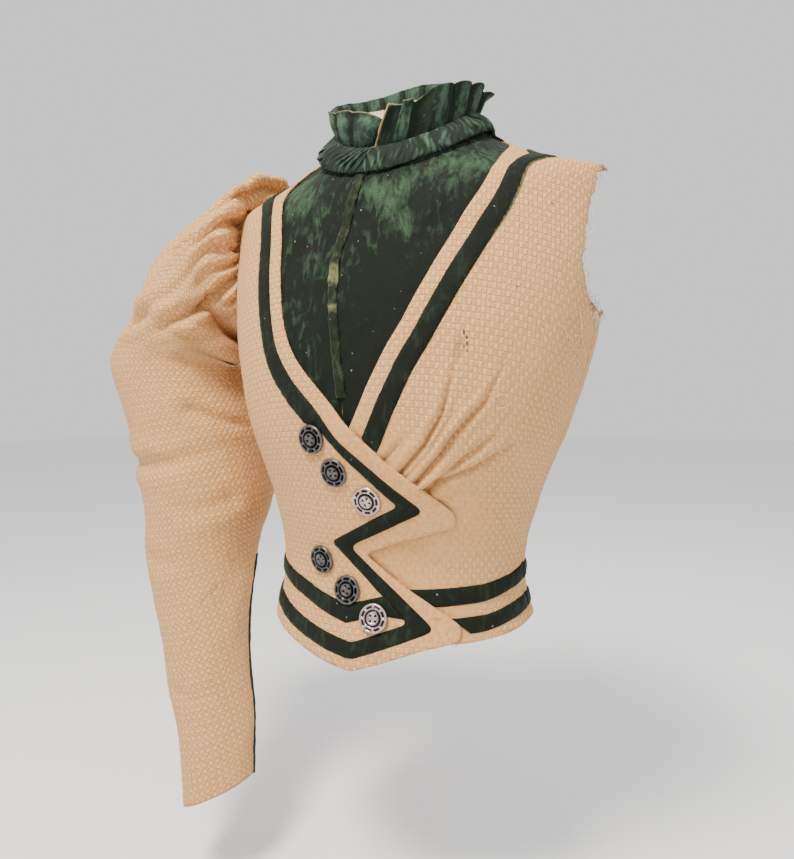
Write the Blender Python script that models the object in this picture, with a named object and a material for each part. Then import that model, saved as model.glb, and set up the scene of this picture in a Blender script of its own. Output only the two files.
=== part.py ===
# A fitted bodice of the 1890s in tan check cloth and green velvet.
# The fronts lap in a zig-zag, one leg-of-mutton sleeve is left and the other armhole is raw.
# Metres, +Z up, wearer facing -Y, so that the wearer's left is +X.
# The origin is the middle of the wearer's neck, level with the shoulder seam at the collar.
# Panels are drawn as a cutter would: girth from centre front, and level below the neck.

from collections import namedtuple
from math import cos, pi, radians, sin

import bmesh
import bpy
import numpy as np
from mathutils import Vector
from mathutils.geometry import delaunay_2d_cdt

# Cloth and seams
CLOTH = 0.0016
VELVET = 0.0014
BAND = 0.0011
LINING = 0.0010
SEAM = 0.0003
TUCK_UNDER = 0.0010    # from a front's inner face to the plastron beneath it
LAP_RISE = 0.0026      # how far the right front rides out over the left
LAP_FADE = 0.030       # girth over which it comes back down
NECK_EDGE = -0.0005    # the level at which pieces end below the collar

# Lattices of the walls
FRONT_STEP = 0.0175
BACK_STEP = 0.0230
PLASTRON_STEP = 0.0175

# Sections through the filled bodice, from below the hem up to the shoulders
Section = namedtuple("Section", "level width front back fullness back_rise lean")
TORSO = (
    Section(-0.520, 0.1400, 0.1120, 0.106, 2.20, 0.000, -0.006),
    Section(-0.455, 0.1310, 0.1040, 0.096, 2.20, 0.000, -0.006),
    Section(-0.405, 0.1150, 0.0910, 0.074, 2.10, 0.000, -0.006),
    Section(-0.380, 0.1135, 0.0885, 0.070, 2.10, 0.000, -0.006),
    Section(-0.330, 0.1210, 0.0980, 0.074, 2.20, 0.000, -0.003),
    Section(-0.250, 0.1480, 0.1150, 0.088, 2.40, 0.000, 0.001),
    Section(-0.190, 0.1640, 0.1120, 0.095, 2.40, 0.000, 0.003),
    Section(-0.120, 0.1740, 0.0980, 0.094, 2.25, 0.000, 0.003),
    Section(-0.060, 0.1790, 0.0810, 0.084, 1.75, 0.022, 0.000),
)
LOWEST = TORSO[0].level
CHEST_DROP = 0.002     # the highest section dips by this in front, as its back rises
NECK_WIDTH = 0.072
NECK_MIDDLE = 0.006    # where the neck is widest, behind the centre
NECK_FRONT = (-0.068, -0.046)
NECK_SIDE = 0.0015
NECK_TILT = -0.06       # rise for each metre towards the wearer's left
NECK_BACK = (0.060, -0.002)
SHOULDER_TIP = (0.180, 0.008, -0.056)
SHOULDER_SAG = 0.0065
THROAT = (0.33, -0.45, 0.83)    # which way the cloth faces where neck, front and shoulder meet
THROAT_SPAN = (radians(18), radians(42))
THROAT_DEPTH = 0.026
THROAT_FADE = 0.12
NECK_TO_SEAM = radians(36)
SEAM_TO_BACK = radians(142)
SHOULDER_ROUND = 0.012
SHOULDER_FADE = 0.2
SEAM_FALL = (0.06, 2)  # least and most that the form may fall away from the shoulder seam
RAW_SHARES = (0.935, 0.77, 0.58, 0.39, 0.20)    # along a shoulder seam from its tip
SEWN_SHARES = (0.46, 0.32, 0.16)

# Cut edges on the pattern
Point = namedtuple("Point", "girth level")
LEFT_NECKLINE = (
    Point(0.139, 0.000), Point(0.122, -0.024), Point(0.112, -0.050), Point(0.103, -0.076),
    Point(0.086, -0.102), Point(0.066, -0.138), Point(0.046, -0.177), Point(0.030, -0.206),
    Point(0.006, -0.258), Point(-0.012, -0.288),
)
RIGHT_NECKLINE = (
    Point(-0.143, 0.000), Point(-0.112, -0.030), Point(-0.090, -0.058), Point(-0.080, -0.090),
    Point(-0.078, -0.118), Point(-0.072, -0.149), Point(-0.065, -0.174), Point(-0.055, -0.195),
    Point(-0.040, -0.213), Point(-0.018, -0.234), Point(0.002, -0.254),
)
LAP_EDGE = (
    Point(0.002, -0.254), Point(0.035, -0.284), Point(0.064, -0.307), Point(0.085, -0.325),
    Point(0.085, -0.336), Point(0.040, -0.349), Point(0.012, -0.361), Point(0.043, -0.386),
    Point(0.067, -0.402), Point(0.091, -0.419), Point(0.090, -0.430),
)
RIGHT_HEM = (
    Point(0.090, -0.430), Point(0.063, -0.435), Point(0.004, -0.456), Point(-0.030, -0.450),
    Point(-0.062, -0.442), Point(-0.095, -0.434), Point(-0.130, -0.428),
)
LEFT_HEM = (
    Point(-0.020, -0.434), Point(0.060, -0.431), Point(0.093, -0.431), Point(0.131, -0.429),
)
LEFT_UNDERLAP = (Point(-0.020, -0.300), Point(-0.020, -0.434))
UNDER_RIGHT = (Point(0.090, -0.6), Point(-0.5, -0.6), Point(-0.5, 0.1))    # closes round the covered part
LAP_TOP = -0.113       # above this the left front is not cut along the lap
PLACKET_LINE = (
    Point(-0.004, 0.000), Point(-0.007, -0.060), Point(-0.013, -0.096), Point(-0.020, -0.123),
    Point(-0.020, -0.151), Point(-0.015, -0.183), Point(-0.009, -0.215), Point(-0.004, -0.238),
)
PLACKET_WIDTH = 0.0065
PLACKET_OVER = 0.002   # how far it reaches over the other half
PLACKET_SPAN = (-0.236, -0.004)
PLASTRON_UNDERLAP = 0.0125
PLASTRON_SPAN = (-0.262, -0.001)
PLASTRON_FOOT = Point(0.001, -0.268)
HEM_SIDE = -0.426
HEM_BACK = -0.428

# Velvet bands
NECKLINE_MARGIN = 0.0128
NECKLINE_BAND = 0.0160
BandCorner = namedtuple("BandCorner", "outer_girth outer_level inner_girth inner_level")
LAP_BAND = (
    BandCorner(-0.008, -0.264, -0.021, -0.2615),
    BandCorner(0.062, -0.323, 0.042, -0.319),
    BandCorner(-0.001, -0.355, -0.018, -0.352),
    BandCorner(0.070, -0.421, 0.048, -0.416),
    BandCorner(0.004, -0.447, 0.004, -0.434),
    BandCorner(-0.045, -0.437, -0.045, -0.424),
    BandCorner(-0.095, -0.425, -0.095, -0.412),
)
LAP_JOIN = 3           # points of the neckline that the zig-zag's first corner stands for
BAND_STOP = LAP_BAND[2:5]
BEYOND_STOP = (Point(0.2, -0.5), Point(0.2, -0.3))
WaistBand = namedtuple("WaistBand", "girth top bottom")
UPPER_BAND = (
    WaistBand(-0.100, -0.382, -0.3965), WaistBand(-0.058, -0.391, -0.4055),
    WaistBand(-0.003, -0.4045, -0.4200), WaistBand(0.020, -0.3955, -0.4110),
)
LEFT_UPPER_BAND = (
    WaistBand(0.040, -0.3895, -0.4040), WaistBand(0.108, -0.387, -0.4015),
    WaistBand(0.136, -0.383, -0.3970),
)
LEFT_LOWER_BAND = (
    WaistBand(0.070, -0.4125, -0.4250), WaistBand(0.112, -0.4115, -0.4240),
    WaistBand(0.136, -0.408, -0.4205),
)
SIDE_UPPER = (-0.378, -0.3925)
SIDE_LOWER = (-0.4045, -0.4170)
BAND_LEVEL = 0.17      # girth from which a band runs level
BAND_PAST = 0.22       # and where it ends, past the side seam
BAND_CLEAR = 0.0012    # what a band keeps from the edge of the cloth that laps it
NECKLINE_RUN = 0.03    # how far a neckline's band is drawn on past the shoulder

# Armholes and the side seams
ARMHOLE_DEPTH = 0.180
ArmholeCurve = namedtuple("ArmholeCurve", "width power")
ARMHOLE_FORE = ArmholeCurve(0.047, 2.3)
SEWN_REAR = ArmholeCurve(0.060, 2.0)
RAW_REAR = ArmholeCurve(0.092, 1.1)
ArmholeTop = namedtuple("ArmholeTop", "half power")
SEWN_TOP = ArmholeTop(0.055, 3)    # half its width at the shoulder seam, and how fast that narrows
RAW_TOP = ArmholeTop(0.0070, 1)
SIDE_SEAM = radians(90)
CENTRE_GAP = 0.0022    # half the gap at centre back, as an angle round the body
BACK_SEAM_TOP = 0.62
ARMHOLE_START = 0.02
SIDE_LEVELS = tuple(np.linspace(-ARMHOLE_DEPTH, HEM_SIDE, 18))
# The lining at the raw armhole: how far past the cut edge, and how far out, each of its rows lies
LIP_FORE = tuple(np.linspace(0.70, 1.0, 6))
LIP_REAR = tuple(np.linspace(1.0, 0.74, 5)[1:])
LIP_CENTRE = -0.120
LIP = ((-0.014, -0.0020), (-0.001, -0.0020), (0.004, -0.0004), (0.009, 0.0040))
BackSeam = namedtuple("BackSeam", "level from_middle")
BACK_SEAM = (
    BackSeam(-0.200, 0.127), BackSeam(-0.260, 0.092), BackSeam(-0.330, 0.058),
    BackSeam(-0.385, 0.042), BackSeam(-0.428, 0.052),
)

# Pleats of the left front: each runs up and out from the lap, sinking below the cloth
Pleat = namedtuple("Pleat", "foot_girth foot_level mid_girth mid_level top_girth top_level depth")
PLEATS = (
    Pleat(0.030, -0.287, 0.044, -0.271, 0.057, -0.259, 0.0020),
    Pleat(0.044, -0.294, 0.078, -0.249, 0.094, -0.192, 0.0038),
    Pleat(0.056, -0.303, 0.086, -0.266, 0.128, -0.196, 0.0034),
    Pleat(0.062, -0.309, 0.098, -0.279, 0.133, -0.245, 0.0026),
    Pleat(0.066, -0.312, 0.104, -0.288, 0.156, -0.261, 0.0020),
)
PLEAT_HALF = 0.008

# Collar: a stiff stand, and a ruched strip drawn in round its middle
SLIT = radians(2.2)
CollarLine = namedtuple("CollarLine", "lift_front lift_side lift_back draw_in")
COLLAR_FOOT = CollarLine(0.0012, 0.0022, 0.0022, -0.0006)
COLLAR_PINCH = CollarLine(0.0200, 0.0170, 0.0240, 0.0105)
STAND_TOP = CollarLine(0.0440, 0.0250, 0.0580, 0.0110)
FRILL_TOP = CollarLine(0.0540, 0.0340, 0.0690, 0.0040)
FRILL_FOOT = CollarLine(-0.0040, 0.0012, -0.0030, -0.0060)
Frill = namedtuple("Frill", "line waves phase depth puff rise rows")
LOWER_FRILL = Frill(FRILL_FOOT, 24, 2.5, 0.0032, 0.003, 0.0, (1.0, 0.5))
UPPER_FRILL = Frill(FRILL_TOP, 20, 1.0, 0.0048, 0.0, 0.0022, (0.0, 0.35, 0.7, 1.0))
FRILL_COLUMNS = 101
STAND_COLUMNS = 31

# Sleeve: its sections from the armhole round the top of the arm and down to the wrist
SleeveSection = namedtuple("SleeveSection", "x y z turn outer inner front back gathers")
SLEEVE = (
    SleeveSection(-0.174, 0.000, -0.100, -14, 0.088, 0.077, 0.072, 0.070, 0.0046),
    SleeveSection(-0.211, 0.000, -0.126, 33, 0.075, 0.077, 0.080, 0.078, 0.0046),
    SleeveSection(-0.230, 0.000, -0.144, 42, 0.065, 0.076, 0.086, 0.084, 0.0032),
    SleeveSection(-0.246, 0.000, -0.172, 68, 0.059, 0.072, 0.084, 0.084, 0.0016),
    SleeveSection(-0.263, 0.000, -0.197, 84, 0.080, 0.074, 0.083, 0.083, 0.0006),
    SleeveSection(-0.257, 0.000, -0.241, 90, 0.071, 0.076, 0.080, 0.080, 0.0000),
    SleeveSection(-0.245, -0.001, -0.290, 96, 0.066, 0.071, 0.074, 0.074, 0.0000),
    SleeveSection(-0.237, -0.006, -0.344, 93, 0.064, 0.066, 0.068, 0.068, 0.0000),
    SleeveSection(-0.236, -0.015, -0.395, 97, 0.057, 0.056, 0.058, 0.058, 0.0000),
    SleeveSection(-0.224, -0.028, -0.455, 98, 0.047, 0.046, 0.048, 0.048, 0.0000),
    SleeveSection(-0.208, -0.040, -0.515, 98, 0.041, 0.039, 0.041, 0.041, 0.0000),
    SleeveSection(-0.192, -0.050, -0.565, 98, 0.036, 0.037, 0.038, 0.038, 0.0000),
    SleeveSection(-0.179, -0.062, -0.617, 115, 0.036, 0.034, 0.035, 0.035, 0.0000),
)
SLEEVE_COLUMNS = 60
GATHERS = 15
SLEEVE_STEPS = (0, 1, 1.5, 2, 2.5, 3, 3.5, 4, 5, 6, 7, 8, 9, 10, 11, 12, 13, 14)
HEAD_RISE = 0.005      # how far the sleeve stands out of the armhole before it swells
HEAD_GAP = 0.0012
RISE_GATHERS = 0.0008
INNER_SEAM = 35        # columns of the sleeve where its two seams lie
OUTER_SEAM = 53

# Buttons
BUTTON_RADIUS = 0.0120
BUTTON_HEIGHT = 0.0036
BUTTON_SIDES = 14
# Its section from the middle of the back to the middle of the face, in shares of radius and height
BUTTON_PROFILE = (
    (0, 0), (0.86, 0), (1, 0.40), (0.93, 0.85), (0.80, 0.80), (0.68, 0.55), (0.46, 1), (0.20, 0.70), (0, 0.66),
)
BUTTON_CLEAR = 0.0002
BUTTONS = (
    Point(-0.0285, -0.2675), Point(-0.0095, -0.2935), Point(0.0175, -0.3155),
    Point(-0.0290, -0.3695), Point(-0.0030, -0.3930), Point(0.0215, -0.4135),
)

# Finishes: colour, roughness, metallic
Finish = namedtuple("Finish", "colour roughness metallic")
TAN = Finish((0.73, 0.48, 0.27), 0.85, 0.0)
GREEN = Finish((0.016, 0.055, 0.034), 0.75, 0.0)
WORN_GREEN = Finish((0.07, 0.09, 0.035), 0.85, 0.0)
CREAM = Finish((0.76, 0.70, 0.58), 0.90, 0.0)
BLACKISH = Finish((0.02, 0.03, 0.02), 0.80, 0.0)
STEEL = Finish((0.33, 0.31, 0.30), 0.35, 1.0)


def smooth(t):
    t = np.clip(t, 0.0, 1.0)
    return t * t * (3 - 2 * t)


def neck_point(turn):
    """Points of the neck seam; turn runs from centre front, 0, to centre back, pi."""
    c = np.cos(turn)
    fore = c > 0
    depth = np.where(fore, NECK_FRONT[0] - NECK_MIDDLE, NECK_MIDDLE - NECK_BACK[0])
    fall = np.where(fore, NECK_FRONT[1] - NECK_SIDE, NECK_BACK[1] - NECK_SIDE)
    reach = np.where(fore, np.abs(c) ** 1.25, np.abs(c))
    across = NECK_WIDTH * np.sin(turn)
    return np.stack([across, NECK_MIDDLE + depth * c, NECK_SIDE + fall * reach + NECK_TILT * across], -1)


def top_ring(angle):
    """Neck seam and shoulder seams as one ring over the form, for any angle."""
    size = np.abs(angle)
    turn = np.where(size < pi / 2, size / NECK_TO_SEAM, 2 - (pi - size) / (pi - SEAM_TO_BACK)) * pi / 2
    side = np.where(angle < 0, -1, 1)
    ring = neck_point(turn * side)
    along = np.where(size < pi / 2,
                     (size - NECK_TO_SEAM) / (pi / 2 - NECK_TO_SEAM),
                     (SEAM_TO_BACK - size) / (SEAM_TO_BACK - pi / 2))
    on_seam = (size > NECK_TO_SEAM) & (size < SEAM_TO_BACK)
    neck = np.array([NECK_WIDTH, NECK_MIDDLE, NECK_SIDE])
    seam = neck + (np.array(SHOULDER_TIP) - neck) * along[..., None]
    seam[..., 0] *= side
    seam[..., 2] -= SHOULDER_SAG * np.sin(pi * np.clip(along, 0, 1))
    seam[..., 2] += NECK_TILT * NECK_WIDTH * side * (1 - along)
    return np.where(on_seam[..., None], seam, ring)


def section_ring(section, angle):
    c = np.cos(angle)
    depth = np.where(c > 0, section.front, section.back)
    power = section.fullness
    reach = ((np.abs(np.sin(angle)) / section.width) ** power + (np.abs(c) / depth) ** power) ** (-1 / power)
    rise = np.where(c > 0, -CHEST_DROP * (section.back_rise > 0), section.back_rise) * np.abs(c)
    return np.stack([section.lean + reach * np.sin(angle), -reach * c, section.level + rise], -1)


def blend(p0, m0, p1, m1, t):
    """Cubic between two points with their tangents."""
    return (p0 * (2 * t**3 - 3 * t**2 + 1) + m0 * (t**3 - 2 * t**2 + t)
            + p1 * (3 * t**2 - 2 * t**3) + m1 * (t**3 - t**2))


def form(angle, level):
    """Points of the filled bodice by angle round the body and level below the neck."""
    angle, level = np.broadcast_arrays(np.asarray(angle, float), np.asarray(level, float))
    rings = np.stack([section_ring(section, angle) for section in TORSO] + [top_ring(angle)])
    heights = np.array([section.level for section in TORSO] + [0.0])
    span = np.diff(heights).reshape((-1,) + (1,) * angle.ndim + (1,))
    chords = np.diff(rings, axis=0) / span
    inner = (chords[:-1] * span[1:] + chords[1:] * span[:-1]) / (span[1:] + span[:-1])
    shoulder = np.clip((np.abs(np.sin(angle)) - 0.35) / 0.4, 0, 1)[..., None]
    last = chords[-1] * (1 + shoulder * np.array([0.0, 0.15, -0.65]))
    tangents = np.concatenate([chords[:1], inner, last[None]])
    step = np.clip(np.searchsorted(heights, level, side="right") - 1, 0, len(heights) - 2)
    size = (heights[step + 1] - heights[step])[..., None]
    t = ((level - heights[step]) / size[..., 0])[..., None]
    low = step[None, ..., None]
    pick = np.take_along_axis
    return blend(pick(rings, low, 0)[0], pick(tangents, low, 0)[0] * size,
                 pick(rings, low + 1, 0)[0], pick(tangents, low + 1, 0)[0] * size, t)


class Pattern:
    """Turns girth and level on the pattern into points on the filled bodice."""

    def __init__(self):
        self.levels = np.linspace(LOWEST, 0, 131)
        self.angles = np.linspace(-pi - 0.1, pi + 0.1, 761)
        self.girths = np.linspace(-0.56, 0.56, 449)
        points = form(self.angles[None, :], self.levels[:, None])
        steps = np.linalg.norm(np.diff(points, axis=1), axis=-1)
        walked = np.concatenate([np.zeros((len(self.levels), 1)), np.cumsum(steps, 1)], 1)
        self.walked = walked - walked[:, [len(self.angles) // 2]]
        self.turned = np.stack([np.interp(self.girths, row, self.angles) for row in self.walked])

    def girth(self, level, angle):
        """Girth from centre front to an angle, at each level."""
        place = (np.atleast_1d(level) - LOWEST) / (self.levels[1] - self.levels[0])
        row = np.clip(place.astype(int), 0, len(self.levels) - 2)
        low = np.array([np.interp(angle, self.angles, self.walked[r]) for r in row])
        high = np.array([np.interp(angle, self.angles, self.walked[r + 1]) for r in row])
        return low + (high - low) * (place - row)

    def angle(self, girth, level):
        u = np.clip((level - LOWEST) / (self.levels[1] - self.levels[0]), 0, len(self.levels) - 1.001)
        v = np.clip((girth - self.girths[0]) / (self.girths[1] - self.girths[0]), 0, len(self.girths) - 1.001)
        i = u.astype(int)
        j = v.astype(int)
        u = u - i
        v = v - j
        table = self.turned
        angle = (table[i, j] * (1 - u) * (1 - v) + table[i + 1, j] * u * (1 - v)
                 + table[i, j + 1] * (1 - u) * v + table[i + 1, j + 1] * u * v)
        return np.clip(angle, CENTRE_GAP - pi, pi - CENTRE_GAP)

    def outward(self, girth, level):
        """Unit normals; over the shoulder seam front and back share one."""
        reach = 0.002
        high = np.minimum(level + reach, 0)
        low = high - 2 * reach
        up = form(self.angle(girth, high), high) - form(self.angle(girth, low), low)
        across = form(self.angle(girth + reach, level), level) - form(self.angle(girth - reach, level), level)
        normal = np.cross(across, up)
        normal /= np.maximum(np.linalg.norm(normal, axis=-1, keepdims=True), 1e-12)
        angle = self.angle(girth, level)
        turned = np.abs(angle)
        throat = np.stack([THROAT[0] * np.sign(angle), THROAT[1] + 0 * angle, THROAT[2] + 0 * angle], -1)
        at_throat = smooth((turned - THROAT_SPAN[0]) / THROAT_FADE)
        at_throat = at_throat * smooth((THROAT_SPAN[1] - turned) / THROAT_FADE)
        share = (at_throat * smooth(2 * (1 + level / THROAT_DEPTH)))[..., None]
        normal = normal * (1 - share) + throat * share
        slope = np.array(SHOULDER_TIP) - np.array([NECK_WIDTH, NECK_MIDDLE, NECK_SIDE])
        ridge = np.stack([np.sign(angle) * -slope[2], 0 * angle, 0 * angle + slope[0]], -1)
        ridge /= np.maximum(np.linalg.norm(ridge, axis=-1, keepdims=True), 1e-12)
        on_seam = smooth((turned - NECK_TO_SEAM) / SHOULDER_FADE)
        on_seam = on_seam * smooth((SEAM_TO_BACK - turned) / SHOULDER_FADE)
        share = (on_seam * smooth(1 + level / SHOULDER_ROUND))[..., None]
        normal = normal * (1 - share) + ridge * share
        return normal / np.maximum(np.linalg.norm(normal, axis=-1, keepdims=True), 1e-12)

    def drape(self, girth, level, out):
        """Points that lie a distance out from the form."""
        girth = np.asarray(girth, float)
        level = np.asarray(level, float)
        point = form(self.angle(girth, level), level)
        return point + self.outward(girth, level) * np.asarray(out)[..., None]


def distance(points, path):
    """Distance from each pattern point to a line through the path."""
    best = np.full(len(points), 1.0)
    for a, b in zip(path[:-1], path[1:]):
        a = np.array(a)
        edge = np.array(b) - a
        t = np.clip(((points - a) @ edge) / max(edge @ edge, 1e-12), 0, 1)
        best = np.minimum(best, np.linalg.norm(points - a - t[:, None] * edge, axis=1))
    return best


def inside(points, outline):
    """Which pattern points lie within a closed outline."""
    hit = np.zeros(len(points), bool)
    ring = list(outline) + [outline[0]]
    for (x0, y0), (x1, y1) in zip(ring[:-1], ring[1:]):
        if y0 == y1:
            continue
        crosses = (points[:, 1] > y0) != (points[:, 1] > y1)
        hit ^= crosses & (points[:, 0] < x0 + (points[:, 1] - y0) * (x1 - x0) / (y1 - y0))
    return hit


def spaced(path, step):
    """The path with points added so that none are further apart than a step."""
    line = [tuple(path[0])]
    for a, b in zip(path[:-1], path[1:]):
        parts = max(1, round(np.hypot(b[0] - a[0], b[1] - a[1]) / step))
        line += [(a[0] + (b[0] - a[0]) * k / parts, a[1] + (b[1] - a[1]) * k / parts)
                 for k in range(1, parts + 1)]
    return line


def rounded(path, parts=3):
    """A smooth curve through the points of a neckline."""
    rows = [np.array(p) for p in path]
    rows = [2 * rows[0] - rows[1]] + rows + [2 * rows[-1] - rows[-2]]
    line = [tuple(rows[1])]
    for a, b, c, d in zip(rows[:-3], rows[1:-2], rows[2:-1], rows[3:]):
        line += [tuple(blend(b, (c - a) / 2, c, (d - b) / 2, k / parts)) for k in range(1, parts + 1)]
    return line


def set_in(path, gap):
    """The path moved sideways, to its left as it runs."""
    line = []
    for k, here in enumerate(path):
        before = np.array(path[max(k - 1, 0)])
        after = np.array(path[min(k + 1, len(path) - 1)])
        first = np.array(here) - before if k > 0 else after - here
        second = after - np.array(here) if k < len(path) - 1 else first
        first = first / np.hypot(*first)
        second = second / np.hypot(*second)
        mitre = first + second
        mitre = np.array([-mitre[1], mitre[0]]) / max(mitre @ mitre, 0.3) * 2
        line.append((here[0] + mitre[0] * gap, here[1] + mitre[1] * gap))
    return line


def cut(outline, step, lines=()):
    """Triangles that fill an outline, with edges along the given lines."""
    edge = spaced(list(outline) + [outline[0]], step)[:-1]
    points = list(edge)
    pairs = [(k, (k + 1) % len(edge)) for k in range(len(edge))]
    for line in lines:
        line = spaced(line, step)
        pairs += [(len(points) + k, len(points) + k + 1) for k in range(len(line) - 1)]
        points += line
    low = np.min(edge, axis=0)
    high = np.max(edge, axis=0)
    grid = []
    rise = 0.88 * step
    for row in range(int(low[1] / rise) - 1, int(high[1] / rise) + 2):
        for column in range(int(low[0] / step) - 1, int(high[0] / step) + 2):
            grid.append(((column + 0.5 * (row % 2)) * step, row * rise))
    grid = np.array(grid)
    grid = grid[inside(grid, edge)]
    for line in [edge + edge[:1]] + list(lines):
        grid = grid[distance(grid, line) > 0.45 * step]
    points += [tuple(p) for p in grid]
    result = delaunay_2d_cdt([Vector(p) for p in points], pairs, [list(range(len(edge)))], 1, 1e-5)
    places = np.array([(p.x, p.y) for p in result[0]])
    faces = [f for f in result[2] if inside(places[list(f)].mean(axis=0)[None], edge)[0]]
    return places, faces


def chosen(places, faces, test):
    """The faces whose middles pass a test."""
    middles = np.array([places[list(f)].mean(axis=0) for f in faces])
    keep = test(middles)
    return [f for f, good in zip(faces, keep) if good]


def finish_material(name, finish):
    material = bpy.data.materials.new(name)
    material.use_nodes = True
    shader = material.node_tree.nodes["Principled BSDF"]
    shader.inputs["Base Color"].default_value = (*finish.colour, 1)
    shader.inputs["Roughness"].default_value = finish.roughness
    shader.inputs["Metallic"].default_value = finish.metallic
    return material


def add_object(name, bm, finish):
    mesh = bpy.data.meshes.new(name)
    bm.to_mesh(mesh)
    bm.free()
    mesh.shade_smooth()
    mesh.set_sharp_from_angle(angle=radians(50))
    mesh.materials.append(finish_material(name, finish))
    part = bpy.data.objects.new(name, mesh)
    bpy.context.collection.objects.link(part)
    return part


def add_wall(name, inner, outer, faces, finish):
    """A closed wall: the inner sheet is extruded to the outer one."""
    used = sorted({k for f in faces for k in f})
    bm = bmesh.new()
    tag = bm.verts.layers.int.new("place")
    corners = {}
    for k in used:
        corners[k] = bm.verts.new(inner[k])
        corners[k][tag] = k
    sheet = [bm.faces.new([corners[k] for k in f]) for f in faces]
    grown = bmesh.ops.extrude_face_region(bm, geom=sheet, use_keep_orig=True)["geom"]
    for item in grown:
        if isinstance(item, bmesh.types.BMVert):
            item.co = outer[item[tag]]
    bmesh.ops.recalc_face_normals(bm, faces=bm.faces)
    return add_object(name, bm, finish)


def add_grid_wall(name, inner, outer, finish, closed=False):
    """A wall whose two sheets are grids of rows and columns."""
    rows, columns = inner.shape[:2]
    faces = []
    for r in range(rows - 1):
        for c in range(columns if closed else columns - 1):
            d = (c + 1) % columns
            faces.append((r * columns + c, r * columns + d, (r + 1) * columns + d, (r + 1) * columns + c))
    return add_wall(name, inner.reshape(-1, 3), outer.reshape(-1, 3), faces, finish)


def grid_normals(grid, closed):
    """Normals of a grid, on the side its rows and columns turn to."""
    if closed:
        across = np.roll(grid, -1, axis=1) - np.roll(grid, 1, axis=1)
    else:
        across = np.gradient(grid, axis=1)
    down = np.gradient(grid, axis=0)
    normal = np.cross(across, down)
    return normal / np.linalg.norm(normal, axis=-1, keepdims=True)


def shoulder_edge(pattern, side, fore, shares):
    """Points of the shoulder seam, held back by half its gap; shares run from the neck, 0, to the tip."""
    neck = NECK_TO_SEAM if fore else SEAM_TO_BACK
    angles = (neck + (pi / 2 - neck) * np.array(shares)) * side
    reach = 0.004
    apart = np.abs(form(angles, 0 * angles) - form(angles, 0 * angles - reach))[:, 1] / reach
    levels = -SEAM / 2 / np.clip(apart, *SEAM_FALL)
    return [(pattern.girth(level, angle)[0], level) for level, angle in zip(levels, angles)]


def armhole_point(pattern, side, share, fore):
    """A point of the armhole on the pattern; share runs from its top, 0, to its foot, 1."""
    depth = np.sin(np.asarray(share) * pi / 2)
    level = -ARMHOLE_DEPTH * depth
    rear = RAW_REAR if side > 0 else SEWN_REAR
    curve = ARMHOLE_FORE if fore else rear
    half = curve.width * np.abs(np.sin(pi * np.minimum(depth, 1) ** curve.power)) ** 0.8
    top = RAW_TOP if side > 0 else SEWN_TOP
    half += top.half * (1 - depth) ** top.power
    middle = pattern.girth(level, side * SIDE_SEAM)
    return middle - side * half * (1 if fore else -1), level


def armhole_edge(pattern, side, foot, fore):
    """An armhole's edge from the shoulder down, its points closest near the shoulder tip."""
    share = ARMHOLE_START + (foot - ARMHOLE_START) * np.linspace(0, 1, 18) ** 1.3
    girth, level = armhole_point(pattern, side, share, fore)
    return list(zip(girth, level))


def at_angle(pattern, side, angle, levels, shift=0.0):
    """A seam down the body at one angle, moved a little to one side."""
    levels = np.array(levels)
    return list(zip(pattern.girth(levels, side * angle) + shift, levels))


def back_seam(pattern, side, shift):
    """The curved seam from the armhole towards the middle of the back."""
    girth, level = armhole_point(pattern, side, np.array([BACK_SEAM_TOP]), False)
    line = [(girth[0] + shift, level[0])]
    for row in BACK_SEAM:
        line.append((side * (pattern.girth(row.level, pi)[0] - row.from_middle) + shift, row.level))
    return line


def front_outline(pattern, side):
    """The outline of a front, from the neckline round by the hem to the shoulder."""
    side_seam = at_angle(pattern, side, SIDE_SEAM, SIDE_LEVELS, -side * SEAM / 2)
    armhole = armhole_edge(pattern, side, 1.0, True)[-2::-1]
    shoulder = shoulder_edge(pattern, side, True, RAW_SHARES if side > 0 else SEWN_SHARES)
    if side > 0:
        front = rounded(LEFT_NECKLINE)[1:] + list(LEFT_UNDERLAP) + list(LEFT_HEM)[1:]
    else:
        front = rounded(RIGHT_NECKLINE)[1:] + list(LAP_EDGE)[1:] + list(RIGHT_HEM)[1:]
    return front + side_seam[::-1] + armhole + shoulder


def side_outline(pattern, side):
    side_seam = at_angle(pattern, side, SIDE_SEAM, SIDE_LEVELS, side * SEAM / 2)
    rear = back_seam(pattern, side, -side * SEAM / 2)
    girth, level = armhole_point(pattern, side, np.linspace(1.0, BACK_SEAM_TOP, 7)[1:-1], False)
    return side_seam[::-1] + list(zip(girth, level)) + rear


def back_outline(pattern, side):
    rear = back_seam(pattern, side, side * SEAM / 2)
    levels = np.linspace(HEM_BACK, NECK_EDGE, 32)
    middle = list(zip(side * pattern.girth(levels, pi) - side * SEAM / 2, levels))
    neck = [(side * pattern.girth(0.0, radians(a))[0], NECK_EDGE) for a in (167, 155)]
    shoulder = shoulder_edge(pattern, side, False, RAW_SHARES if side > 0 else SEWN_SHARES)[::-1]
    armhole = armhole_edge(pattern, side, BACK_SEAM_TOP, False)[:-1]
    return armhole + rear + middle + neck + shoulder


def neckline(side):
    return rounded(LEFT_NECKLINE if side > 0 else RIGHT_NECKLINE)


def lap_margin():
    """The right front's edge with a margin past it."""
    return set_in(neckline(-1) + list(LAP_EDGE)[1:], BAND_CLEAR)


def lap_rise(places, left_outline):
    """How far out the right front rides where it lies on the left one."""
    away = np.where(inside(places, left_outline), 0, distance(places, left_outline + left_outline[:1]))
    return LAP_RISE * smooth(1 - away / LAP_FADE)


def pleat_line(pleat):
    """A pleat's three points, from its foot up."""
    return [(pleat.foot_girth, pleat.foot_level), (pleat.mid_girth, pleat.mid_level),
            (pleat.top_girth, pleat.top_level)]


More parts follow.
